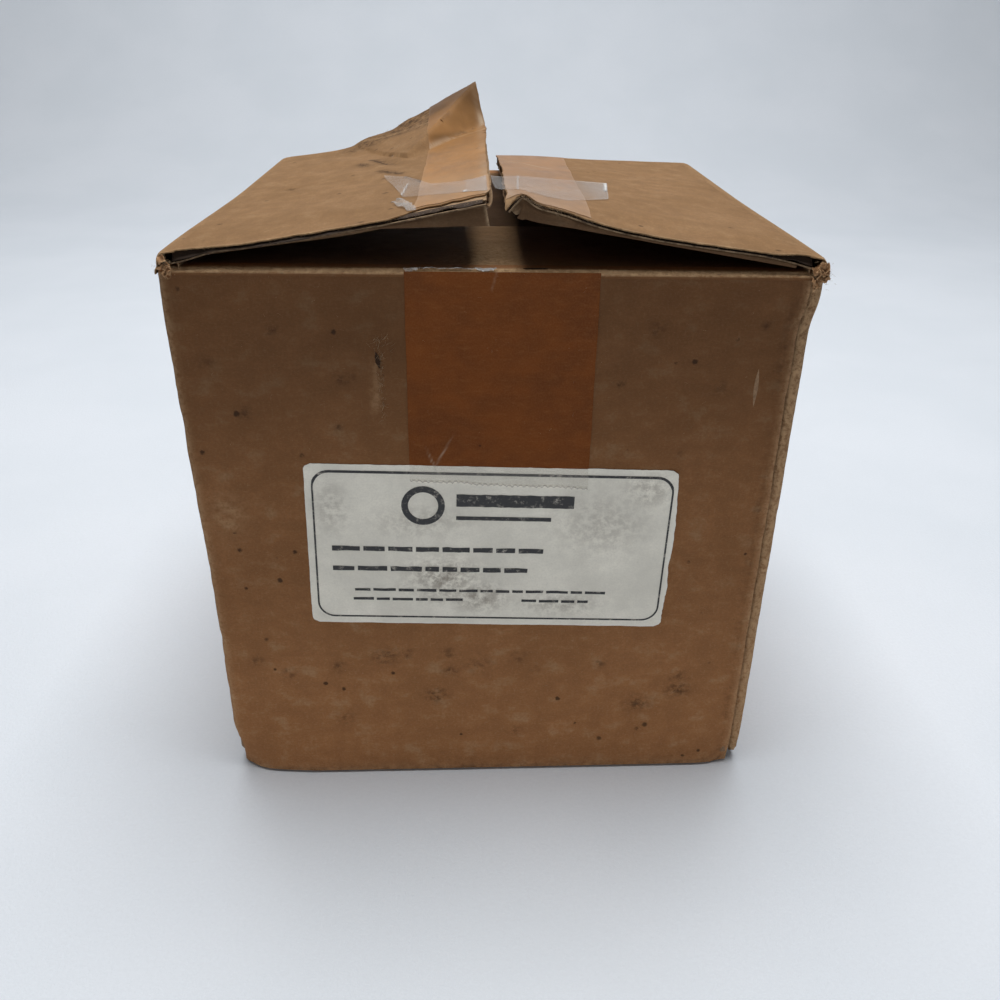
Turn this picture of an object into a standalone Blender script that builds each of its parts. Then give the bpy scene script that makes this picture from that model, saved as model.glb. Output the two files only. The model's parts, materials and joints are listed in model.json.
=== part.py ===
"""Small regular slotted carton of single-wall corrugated board, opened and left standing.

Frame: origin at the centre of the underside, +X to the right, +Y to the back, +Z up.
The label face looks towards -Y.  Lengths are in metres.

Every board panel is built from its three real plies: outer liner, fluted medium and inner
liner.  A panel is drawn flat in its own axes and then laid in place:
    s  across the flutes,
    t  along the flutes (up a wall, away from the hinge on a flap),
    n  into the board, from the outer face.
"""

import math

import bmesh
import bpy
from mathutils import Matrix, Vector

MM = 0.001

# Carton
WIDTH = 158.4 * MM
DEPTH = 158.4 * MM
HEIGHT = 160.0 * MM
FOLD_GAP = 0.3 * MM

# Corrugated board
BOARD = 3.0 * MM
LINER = 0.28 * MM
MEDIUM = 0.22 * MM
GLUE_LINE = 0.1 * MM
FLUTE_PITCH = 6.5 * MM
FLUTE_FLAT = 1.3 * MM

# Flaps
FLAP_LENGTH = 78.9 * MM
INNER_FLAP_LENGTH = 75.0 * MM
INNER_FLAP_HALF_WIDTH = 75.0 * MM
LEFT_FLAP_REST = math.radians(8.5)
RIGHT_FLAP_REST = math.radians(5.75)
RIGHT_FLAP_TWIST = math.radians(4.25)
FRONT_FLAP_DROOP = math.radians(4.0)
BACK_FLAP_DROOP = math.radians(6.0)

# Folded corner of the left flap: where its crease meets the rear edge and the seam edge
CREASE_REAR_T = 28.0 * MM
CREASE_SEAM_S = 40.0 * MM
CORNER_REST = math.radians(28.5)

# Manufacturer's joint
TAB_WIDTH = 32.0 * MM
TAB_LOW = 12.0 * MM
TAB_HIGH = 138.0 * MM
JOINT_RECESS = 1.0 * MM

# Label and tapes
LABEL_SIZE = (101.6 * MM, 50.8 * MM)
LABEL_CENTRE = (-0.5 * MM, 79.3 * MM)
LABEL_TILT = math.radians(-1.2)
LABEL_CORNER = 2.0 * MM
LABEL_THICK = 0.12 * MM
TAPE_THICK = 0.08 * MM
TAPE_WIDTH = 48.0 * MM
TAPE_CENTRE_X = 1.3 * MM
TAIL_LOW = 100.0 * MM
TAPE_CREASE_GAP = 1.2 * MM
BRIDGE_LENGTH = 27.5 * MM
BRIDGE_WIDTH = 25.0 * MM
BRIDGE_CENTRE_S = -43.0 * MM
BRIDGE_OVERHANG = 0.9 * MM
SCRAP_SIZE = (9.0 * MM, 5.0 * MM)
SCRAP_CENTRE = (56.5 * MM, -64.0 * MM)

HALF_W = WIDTH / 2
HALF_D = DEPTH / 2
WALL_LOW = BOARD + FOLD_GAP
WALL_HIGH = HEIGHT - BOARD - FOLD_GAP
SET_IN = BOARD + FOLD_GAP

BOARD_COLOUR = (0.36, 0.23, 0.13, 1.0)
MEDIUM_COLOUR = (0.30, 0.19, 0.11, 1.0)
LABEL_COLOUR = (0.62, 0.61, 0.56, 1.0)
TAPED_COLOUR = (0.30, 0.16, 0.07, 1.0)
CLEAR_COLOUR = (0.75, 0.73, 0.70, 1.0)


def clear_scene():
    for old in list(bpy.data.objects):
        bpy.data.objects.remove(old, do_unlink=True)


def new_collection(name):
    collection = bpy.data.collections.new(name)
    bpy.context.scene.collection.children.link(collection)
    return collection


def new_material(name, colour, roughness):
    material = bpy.data.materials.new(name)
    material.use_nodes = True
    shader = material.node_tree.nodes["Principled BSDF"]
    shader.inputs["Base Color"].default_value = colour
    shader.inputs["Roughness"].default_value = roughness
    return material


def panel_axes(origin, s_axis, t_axis, n_axis):
    """Matrix that lays a flat panel's (s, t, n) in place."""
    rows = Matrix((s_axis, t_axis, n_axis)).transposed().to_4x4()
    return Matrix.Translation(origin) @ rows


def flute_stations(low, high):
    """Wave corners between two ends: (s, wave height 0..1) along a trapezoid wave."""
    slope = FLUTE_PITCH / 2 - FLUTE_FLAT
    corners = ((0.0, 0.0), (FLUTE_FLAT, 0.0), (FLUTE_FLAT + slope, 1.0), (FLUTE_PITCH - slope, 1.0))
    stations = []
    start = low
    while start < high:
        for offset, height in corners:
            stations.append((start + offset, height))
        start += FLUTE_PITCH
    kept = [station for station in stations if station[0] < high - 0.2 * MM]
    last_s, last_height = kept[-1]
    following = stations[len(kept)] if len(kept) < len(stations) else (high, 0.0)
    share = (high - last_s) / (following[0] - last_s)
    kept.append((high, last_height + share * (following[1] - last_height)))
    return kept


def extrude_section(section, t_low, t_high):
    """Solid from a strip of (s, n of one face, n of the other face), drawn along t."""
    mesh = bmesh.new()
    near = [mesh.verts.new((s, t_low, first)) for s, first, _ in section]
    far = [mesh.verts.new((s, t_low, second)) for s, _, second in section]
    strip = []
    for i in range(len(section) - 1):
        strip.append(mesh.faces.new((near[i], near[i + 1], far[i + 1], far[i])))
    grown = bmesh.ops.extrude_face_region(mesh, geom=strip, use_keep_orig=True)
    moved = [item for item in grown["geom"] if isinstance(item, bmesh.types.BMVert)]
    bmesh.ops.translate(mesh, verts=moved, vec=(0.0, t_high - t_low, 0.0))
    bmesh.ops.recalc_face_normals(mesh, faces=mesh.faces[:])
    return mesh


def sheet_section(low, high, n_low, n_high, stations=None):
    """Section of a flat sheet; with stations it is divided where the flutes turn."""
    places = [low, high]
    if stations:
        inner = [s for s, _ in stations if low + 0.2 * MM < s < high - 0.2 * MM]
        places = [low, *inner, high]
    return [(s, n_low, n_high) for s in places]


def medium_section(stations):
    rise = BOARD - 2 * LINER - 2 * GLUE_LINE - MEDIUM
    base = LINER + GLUE_LINE
    return [(s, base + rise * height, base + rise * height + MEDIUM) for s, height in stations]


def face_outwards(mesh):
    bmesh.ops.recalc_face_normals(mesh, faces=mesh.faces[:])
    if mesh.calc_volume(signed=True) < 0:
        bmesh.ops.reverse_faces(mesh, faces=mesh.faces[:])


def cut_away(mesh, point, normal):
    """Removes what lies on the normal's side of a plane and closes the cut."""
    everything = mesh.verts[:] + mesh.edges[:] + mesh.faces[:]
    cut = bmesh.ops.bisect_plane(
        mesh, geom=everything, dist=1e-7, plane_co=point, plane_no=normal, clear_outer=True
    )
    rim = [item for item in cut["geom_cut"] if isinstance(item, bmesh.types.BMEdge)]
    if rim:
        bmesh.ops.holes_fill(mesh, edges=rim, sides=0)


class Builder:
    """Makes the named solids of one carton in one collection."""

    def __init__(self):
        self.collection = new_collection("carton")
        self.materials = {
            "kraft_liner": new_material("kraft_liner", BOARD_COLOUR, 0.9),
            "flute_medium": new_material("flute_medium", MEDIUM_COLOUR, 0.95),
            "label_paper": new_material("label_paper", LABEL_COLOUR, 0.7),
            "packing_tape": new_material("packing_tape", TAPED_COLOUR, 0.35),
            "clear_tape": new_material("clear_tape", CLEAR_COLOUR, 0.3),
        }

    def hinge(self, name, point, axis, angle, parent=None):
        """Empty on a hinge axis, turned to the rest angle."""
        empty = bpy.data.objects.new(name, None)
        empty.empty_display_size = 0.02
        self.collection.objects.link(empty)
        empty.parent = parent
        empty.matrix_local = Matrix.Translation(point) @ Matrix.Rotation(angle, 4, Vector(axis))
        return empty

    def solid(self, name, mesh, material, axes, parent=None, bend=None):
        """One closed solid: the flat mesh is laid with axes, and bent if asked."""
        mesh.transform(axes)
        if bend:
            for vertex in mesh.verts:
                vertex.co = bend(vertex.co)
        face_outwards(mesh)
        data = bpy.data.meshes.new(name)
        mesh.to_mesh(data)
        mesh.free()
        data.materials.append(self.materials[material])
        made = bpy.data.objects.new(name, data)
        self.collection.objects.link(made)
        made.parent = parent
        return made

    def board(self, name, axes, s_range, t_range, parent=None, cut=None, bend=None):
        """A piece of board as three solids: outer liner, fluted medium, inner liner."""
        stations = flute_stations(*s_range)
        along = stations if bend else None
        sections = {
            "outer_liner": sheet_section(*s_range, 0.0, LINER, along),
            "flute_medium": medium_section(stations),
            "inner_liner": sheet_section(*s_range, BOARD - LINER, BOARD, along),
        }
        for ply, section in sections.items():
            mesh = extrude_section(section, *t_range)
            if cut:
                cut_away(mesh, *cut)
            slot = "flute_medium" if ply == "flute_medium" else "kraft_liner"
            self.solid(f"{name}_{ply}", mesh, slot, axes, parent, bend)

    def film(self, name, axes, s_range, t_range, lift, material, parent=None, cut=None, bend=None):
        """A tape laid over the outer face, lifted clear of what it is stuck to."""
        along = flute_stations(-HALF_D, HALF_D) if bend else None
        section = sheet_section(*s_range, -lift - TAPE_THICK, -lift, along)
        mesh = extrude_section(section, *t_range)
        if cut:
            cut_away(mesh, *cut)
        self.solid(name, mesh, material, axes, parent, bend)


def make_walls(build):
    front = panel_axes((0, -HALF_D, 0), (1, 0, 0), (0, 0, 1), (0, 1, 0))
    back = panel_axes((0, HALF_D, 0), (-1, 0, 0), (0, 0, 1), (0, -1, 0))
    left = panel_axes((-HALF_W, 0, 0), (0, 1, 0), (0, 0, 1), (1, 0, 0))
    right = panel_axes((HALF_W, 0, 0), (0, 1, 0), (0, 0, 1), (-1, 0, 0))
    tab = panel_axes((0, -HALF_D + SET_IN, 0), (1, 0, 0), (0, 0, 1), (0, 1, 0))
    heights = (WALL_LOW, WALL_HIGH)
    between = (-HALF_W + SET_IN, HALF_W - SET_IN)
    build.board("front_wall", front, between, heights)
    build.board("back_wall", back, between, heights)
    build.board("left_wall", left, (-HALF_D, HALF_D), heights)
    build.board("right_wall", right, (-HALF_D + JOINT_RECESS, HALF_D), heights)
    build.board("glue_tab", tab, (between[1] - TAB_WIDTH, between[1]), (TAB_LOW, TAB_HIGH))


def make_bottom(build):
    """Closed and glued: front and back flaps outside, left and right flaps crossing over them inside."""
    front = panel_axes((0, -HALF_D, 0), (1, 0, 0), (0, 1, 0), (0, 0, 1))
    back = panel_axes((0, HALF_D, 0), (1, 0, 0), (0, -1, 0), (0, 0, 1))
    left = panel_axes((-HALF_W + SET_IN, 0, SET_IN), (0, 1, 0), (1, 0, 0), (0, 0, 1))
    right = panel_axes((HALF_W - SET_IN, 0, SET_IN), (0, 1, 0), (-1, 0, 0), (0, 0, 1))
    across = (-INNER_FLAP_HALF_WIDTH, INNER_FLAP_HALF_WIDTH)
    build.board("bottom_front_flap", front, (-HALF_W, HALF_W), (0.0, FLAP_LENGTH))
    build.board("bottom_back_flap", back, (-HALF_W, HALF_W), (0.0, FLAP_LENGTH))
    build.board("bottom_left_flap", left, across, (0.0, INNER_FLAP_LENGTH))
    build.board("bottom_right_flap", right, across, (0.0, INNER_FLAP_LENGTH))


def make_inner_top_flaps(build):
    """Front and back top flaps: they fold down inside the walls under the other two."""
    across = (-INNER_FLAP_HALF_WIDTH, INNER_FLAP_HALF_WIDTH)
    low = WALL_HIGH - BOARD
    reach = (0.0, INNER_FLAP_LENGTH)
    front_point = (0.0, -HALF_D + SET_IN, low)
    back_point = (0.0, HALF_D - SET_IN, low)
    front_hinge = build.hinge("hinge_front_flap", front_point, (1, 0, 0), -FRONT_FLAP_DROOP)
    back_hinge = build.hinge("hinge_back_flap", back_point, (-1, 0, 0), -BACK_FLAP_DROOP)
    front = panel_axes((0, 0, BOARD), (1, 0, 0), (0, 1, 0), (0, 0, -1))
    back = panel_axes((0, 0, BOARD), (1, 0, 0), (0, -1, 0), (0, 0, -1))
    build.board("top_front_flap", front, across, reach, front_hinge)
    build.board("top_back_flap", back, across, reach, back_hinge)


def make_left_flap(build):
    """Left top flap with its rear corner folded up along a slanting crease."""
    axes = panel_axes((0, 0, 0), (0, 1, 0), (1, 0, 0), (0, 0, -1))
    hinge = build.hinge("hinge_left_flap", (-HALF_W, 0, HEIGHT), (0, -1, 0), LEFT_FLAP_REST)
    crease_rear = Vector((HALF_D, CREASE_REAR_T, 0.0))
    crease_seam = Vector((CREASE_SEAM_S, FLAP_LENGTH, 0.0))
    along = (crease_seam - crease_rear).normalized()
    to_corner = Vector((along.y, -along.x, 0.0))

    def each_side(gap):
        offset = to_corner * (gap / 2)
        return (crease_rear - offset, to_corner), (crease_rear + offset, -to_corner)

    keep_plate, keep_corner = each_side(FOLD_GAP)
    tape_plate, tape_corner = each_side(TAPE_CREASE_GAP)
    depth = (-HALF_D, HALF_D)
    reach = (0.0, FLAP_LENGTH)
    build.board("top_left_flap", axes, depth, reach, hinge, keep_plate)

    crease_axis = axes.to_3x3() @ along
    corner_hinge = build.hinge(
        "hinge_left_flap_corner", axes @ crease_rear, crease_axis, CORNER_REST, hinge
    )
    corner_axes = Matrix.Translation(-(axes @ crease_rear)) @ axes
    build.board("left_flap_corner", corner_axes, depth, reach, corner_hinge, keep_corner)

    tape_reach = (HALF_W + TAPE_CENTRE_X - TAPE_WIDTH / 2, FLAP_LENGTH)
    for place, frame, parent, cut in (
        ("left_flap", axes, hinge, tape_plate),
        ("left_corner", corner_axes, corner_hinge, tape_corner),
    ):
        build.film(
            f"seam_tape_{place}", frame, depth, tape_reach, GLUE_LINE, "packing_tape", parent, cut
        )

    over = 3 * GLUE_LINE + TAPE_THICK
    bridge_reach = (FLAP_LENGTH - BRIDGE_LENGTH, FLAP_LENGTH)
    bridge_depth = (BRIDGE_CENTRE_S - BRIDGE_WIDTH / 2, BRIDGE_CENTRE_S + BRIDGE_WIDTH / 2)
    build.film(
        "bridge_tape_left_flap", axes, bridge_depth, bridge_reach, over, "clear_tape", hinge
    )
    scrap_s = (SCRAP_CENTRE[1] - SCRAP_SIZE[1] / 2, SCRAP_CENTRE[1] + SCRAP_SIZE[1] / 2)
    scrap_t = (SCRAP_CENTRE[0] - SCRAP_SIZE[0] / 2, SCRAP_CENTRE[0] + SCRAP_SIZE[0] / 2)
    build.film("tape_scrap", axes, scrap_s, scrap_t, over, "clear_tape", hinge)


def make_right_flap(build):
    """Right top flap: twisted, its front edge standing higher than its rear edge."""
    axes = panel_axes((0, 0, 0), (0, 1, 0), (-1, 0, 0), (0, 0, -1))
    hinge = build.hinge("hinge_right_flap", (HALF_W, 0, HEIGHT), (0, 1, 0), RIGHT_FLAP_REST)

    def twist(point):
        angle = -RIGHT_FLAP_TWIST * point.y / HALF_D
        return Matrix.Rotation(angle, 3, "Y") @ point

    depth = (-HALF_D, HALF_D)
    build.board("top_right_flap", axes, depth, (0.0, FLAP_LENGTH), hinge, None, twist)
    tape_reach = (HALF_W - TAPE_CENTRE_X - TAPE_WIDTH / 2, FLAP_LENGTH)
    build.film(
        "seam_tape_right_flap", axes, depth, tape_reach, GLUE_LINE, "packing_tape", hinge, None, twist
    )
    bridge_depth = (BRIDGE_CENTRE_S - BRIDGE_WIDTH / 2, BRIDGE_CENTRE_S + BRIDGE_WIDTH / 2)
    bridge_reach = (FLAP_LENGTH - BRIDGE_LENGTH, FLAP_LENGTH + BRIDGE_OVERHANG)
    over = 3 * GLUE_LINE + TAPE_THICK
    build.film(
        "bridge_tape_right_flap", axes, bridge_depth, bridge_reach, over, "clear_tape", hinge, None, twist
    )


def make_label(build):
    """Paper label with small rounded corners, laid a little askew on the front wall."""
    width, height = LABEL_SIZE
    mesh = bmesh.new()
    corners = [(-1, -1), (1, -1), (1, 1), (-1, 1)]
    points = [mesh.verts.new((x * width / 2, y * height / 2, 0.0)) for x, y in corners]
    mesh.faces.new(points)
    bmesh.ops.bevel(
        mesh, geom=mesh.verts[:], offset=LABEL_CORNER, segments=4, profile=0.5, affect="VERTICES"
    )
    grown = bmesh.ops.extrude_face_region(mesh, geom=mesh.faces[:], use_keep_orig=True)
    moved = [item for item in grown["geom"] if isinstance(item, bmesh.types.BMVert)]
    bmesh.ops.translate(mesh, verts=moved, vec=(0.0, 0.0, LABEL_THICK))
    front = panel_axes(
        (LABEL_CENTRE[0], -HALF_D - GLUE_LINE - LABEL_THICK, LABEL_CENTRE[1]),
        (1, 0, 0), (0, 0, 1), (0, 1, 0),
    )
    build.solid("label", mesh, "label_paper", front @ Matrix.Rotation(LABEL_TILT, 4, "Z"))


def make_tape_tails(build):
    """Ends of the closing tape on the front and back walls; the front one laps the label."""
    front = panel_axes((TAPE_CENTRE_X, -HALF_D, 0), (1, 0, 0), (0, 0, 1), (0, 1, 0))
    back = panel_axes((TAPE_CENTRE_X, HALF_D, 0), (-1, 0, 0), (0, 0, 1), (0, -1, 0))
    across = (-TAPE_WIDTH / 2, TAPE_WIDTH / 2)
    lift = 2 * GLUE_LINE + LABEL_THICK
    for name, axes in (("front_tape_tail", front), ("back_tape_tail", back)):
        build.film(name, axes, across, (TAIL_LOW, WALL_HIGH), lift, "packing_tape")


def main():
    clear_scene()
    build = Builder()
    make_walls(build)
    make_bottom(build)
    make_inner_top_flaps(build)
    make_left_flap(build)
    make_right_flap(build)
    make_label(build)
    make_tape_tails(build)
    bpy.context.view_layer.update()


main()
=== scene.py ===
"""Looks of a small used corrugated carton, opened, with a label and the remains of packing tape.

Lengths are in millimetres until a mesh is made.  A panel of board is described by
    s  across the flutes,
    t  along the flutes (up a wall, away from the hinge on a flap),
    n  into the board, from the outer face.
"""

import json
import math

import bpy
import numpy as np
from mathutils import Matrix, Vector


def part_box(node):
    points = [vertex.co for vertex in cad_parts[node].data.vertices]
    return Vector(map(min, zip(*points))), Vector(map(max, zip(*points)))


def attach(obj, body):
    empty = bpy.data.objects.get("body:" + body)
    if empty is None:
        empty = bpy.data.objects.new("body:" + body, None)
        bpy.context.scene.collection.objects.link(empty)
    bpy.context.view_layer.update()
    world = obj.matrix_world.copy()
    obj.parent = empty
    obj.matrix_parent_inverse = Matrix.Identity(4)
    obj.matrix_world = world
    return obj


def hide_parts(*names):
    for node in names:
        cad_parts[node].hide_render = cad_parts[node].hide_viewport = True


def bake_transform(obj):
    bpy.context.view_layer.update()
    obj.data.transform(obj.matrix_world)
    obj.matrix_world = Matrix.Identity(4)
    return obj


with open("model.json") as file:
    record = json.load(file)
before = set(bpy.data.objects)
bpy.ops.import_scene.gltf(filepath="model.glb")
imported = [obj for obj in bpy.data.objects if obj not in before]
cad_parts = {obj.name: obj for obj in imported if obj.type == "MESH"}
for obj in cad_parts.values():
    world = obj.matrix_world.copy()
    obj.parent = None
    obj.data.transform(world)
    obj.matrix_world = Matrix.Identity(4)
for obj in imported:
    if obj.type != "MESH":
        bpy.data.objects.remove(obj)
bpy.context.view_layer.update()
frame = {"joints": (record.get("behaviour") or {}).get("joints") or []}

METRE = 1000.0
UV_UNIT = 100.0


def box_mm(node):
    low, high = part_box(node)
    return np.array(low) * METRE, np.array(high) * METRE


def joint(name):
    return next(entry for entry in frame["joints"] if entry["name"] == name)


def joint_point(name):
    return np.array(joint(name)["pos_m"]) * METRE


# ---------------------------------------------------------------- sizes from the frame
SIDE = box_mm("right_wall_outer_liner")[1][0]
LINER = box_mm("left_wall_outer_liner")[1][0] + SIDE
BOARD = box_mm("left_wall_inner_liner")[1][0] + SIDE
TOP = joint_point("left_flap_hinge")[2]
MINOR_HINGE = joint_point("front_flap_hinge")
MINOR_TOP = box_mm("front_wall_outer_liner")[1][2]
WALL_FOOT = box_mm("front_wall_outer_liner")[0][2]
MINOR_HALF = box_mm("top_front_flap_outer_liner")[1][0]
FLAP_LENGTH = SIDE - 0.3
TAB_LOW, TAB_HIGH = box_mm("glue_tab_outer_liner")
LABEL_LOW, LABEL_HIGH = box_mm("label")
TAIL_LOW, TAIL_HIGH = box_mm("front_tape_tail")

# Board
MEDIUM = 0.22
FLUTE_PITCH = 6.5
FOLD_RADIUS = 2.2

# Walls
STRIP_START = TOP - 4.5
FREE_EDGE = SIDE - 4.0
SIDE_FOOT = 2.3
FRONT_FOOT = 0.25

# Left flap, as it stands
LEFT_REST = math.radians(8.5)
CREASE_REAR_T = 28.0
CREASE_SEAM_S = 40.0
FOLD_VERTEX = (15.0, 50.0)
SLIGHT_CREASE_S = -40.0
SECOND_CREASE_S = 60.0
SECOND_CREASE_LIFT = 1.5
APEX_LIFT = 15.0
CURL = 1.8
BAND_HALF = 2.5
PLATE_START = 4.0

# Walls pushed out of square: the front left corner leans out, the front right one flares at the top
LEAN = 2.5
FLARE = 1.6

# Right flap, as it stands
RIGHT_FRONT = math.radians(10.0)
RIGHT_REAR = math.radians(1.5)
ARCH_LIFT = 1.7
ARCH_T = 74.4
ARCH_WIDTH = 2.8
ARCH_DEPTH = 9.0
FRONT_SAG = 2.0
SEAM_DROP = 4.4

# Droop of the inner flaps
FRONT_DROOP = math.radians(4.0)
BACK_DROOP = math.radians(6.0)


# ---------------------------------------------------------------- numbers
def smooth(x, low, high):
    """0 below low, 1 above high, smooth between."""
    u = np.clip((x - low) / (high - low), 0.0, 1.0)
    return u * u * (3.0 - 2.0 * u)


def bump(x, centre, width):
    return np.exp(-(((x - centre) / width) ** 2))


def torn(x, seed, coarse=5.0, fine=1.1):
    """Irregular 0..1 profile of a torn edge: random knots at two spacings, joined by straight lines."""
    x = np.asarray(x, float)
    rng = np.random.default_rng(seed)
    total = np.zeros_like(x)
    for spacing, share in ((coarse, 0.65), (fine, 0.35)):
        knots = np.arange(-100.0, 200.0, spacing)
        total = total + share * np.interp(x, knots, rng.random(knots.size))
    return total


def waviness(a, b, seed, amplitude, wavelengths=(95.0, 58.0, 31.0)):
    """Gentle unevenness of a sheet over two directions."""
    rng = np.random.default_rng(seed)
    total = np.zeros(np.broadcast(a, b).shape)
    for length in wavelengths:
        angle = rng.uniform(0, math.pi)
        phase = rng.uniform(0, 2 * math.pi)
        along = a * math.cos(angle) + b * math.sin(angle)
        total = total + np.sin(2 * math.pi * along / length + phase)
    return amplitude * total / len(wavelengths)


def unit(v):
    return v / np.linalg.norm(v, axis=-1, keepdims=True)


# ---------------------------------------------------------------- materials
class Nodes:
    """Small helper for building a node material."""

    def __init__(self, name):
        self.material = bpy.data.materials.new(name)
        self.material.use_nodes = True
        self.tree = self.material.node_tree
        self.shader = self.tree.nodes["Principled BSDF"]

    def add(self, kind, **settings):
        node = self.tree.nodes.new(kind)
        for key, value in settings.items():
            setattr(node, key, value)
        return node

    def link(self, source, target):
        self.tree.links.new(source, target)

    def uv(self, scale=(1.0, 1.0, 1.0)):
        source = self.add("ShaderNodeUVMap", uv_map="Panel")
        mapping = self.add("ShaderNodeMapping")
        mapping.inputs["Scale"].default_value = scale
        self.link(source.outputs["UV"], mapping.inputs["Vector"])
        return mapping.outputs["Vector"]

    def attribute(self, name):
        return self.add("ShaderNodeAttribute", attribute_name=name).outputs["Fac"]

    def noise(self, vector, scale, detail=4.0, roughness=0.6):
        node = self.add("ShaderNodeTexNoise")
        node.inputs["Scale"].default_value = scale
        node.inputs["Detail"].default_value = detail
        node.inputs["Roughness"].default_value = roughness
        self.link(vector, node.inputs["Vector"])
        return node.outputs["Fac"]

    def spots(self, vector, scale, rarity, radius):
        """Crisp irregular dots: one in some of the cells, of varying size."""
        cells = self.add("ShaderNodeTexVoronoi")
        cells.inputs["Scale"].default_value = scale
        self.link(vector, cells.inputs["Vector"])
        ragged = self.noise(vector, scale * 5.0, 2.0, 0.6)
        distance = self.maths("ADD", cells.outputs["Distance"], self.maths("MULTIPLY", ragged, radius * 1.6))
        split = self.add("ShaderNodeSeparateColor")
        self.link(cells.outputs["Color"], split.inputs["Color"])
        size = self.ramp(split.outputs["Red"], rarity, 1.0, 0.0, radius * 2.0)
        gap = self.maths("SUBTRACT", size, distance)
        return self.ramp(gap, -radius * 0.5, radius * 0.4)

    def ramp(self, value, low, high, out_low=0.0, out_high=1.0):
        node = self.add("ShaderNodeMapRange", interpolation_type="SMOOTHSTEP")
        node.inputs["From Min"].default_value = low
        node.inputs["From Max"].default_value = high
        node.inputs["To Min"].default_value = out_low
        node.inputs["To Max"].default_value = out_high
        self.link(value, node.inputs["Value"])
        return node.outputs["Result"]

    def maths(self, operation, first, second):
        node = self.add("ShaderNodeMath", operation=operation)
        for socket, value in zip(node.inputs, (first, second)):
            if isinstance(value, (int, float)):
                socket.default_value = value
            else:
                self.link(value, socket)
        return node.outputs["Value"]

    def mix(self, factor, first, second, blend="MIX"):
        node = self.add("ShaderNodeMix", data_type="RGBA", blend_type=blend)
        colour_sockets = [socket for socket in node.inputs if socket.type == "RGBA"]
        pairs = ((node.inputs[0], factor), (colour_sockets[0], first), (colour_sockets[1], second))
        for socket, value in pairs:
            if isinstance(value, (int, float)):
                socket.default_value = value
            elif isinstance(value, tuple):
                socket.default_value = (*value, 1.0)
            else:
                self.link(value, socket)
        return [socket for socket in node.outputs if socket.type == "RGBA"][0]

    def bump(self, height, distance, strength=1.0):
        node = self.add("ShaderNodeBump")
        node.inputs["Strength"].default_value = strength
        node.inputs["Distance"].default_value = distance
        self.link(height, node.inputs["Height"])
        self.link(node.outputs["Normal"], self.shader.inputs["Normal"])


def shade(colour, factor):
    return tuple(min(1.0, channel * factor) for channel in colour)


# Tone of painted shade.
PAINTED_SHADE_TONE = (0.048, 0.023, 0.011)


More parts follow.
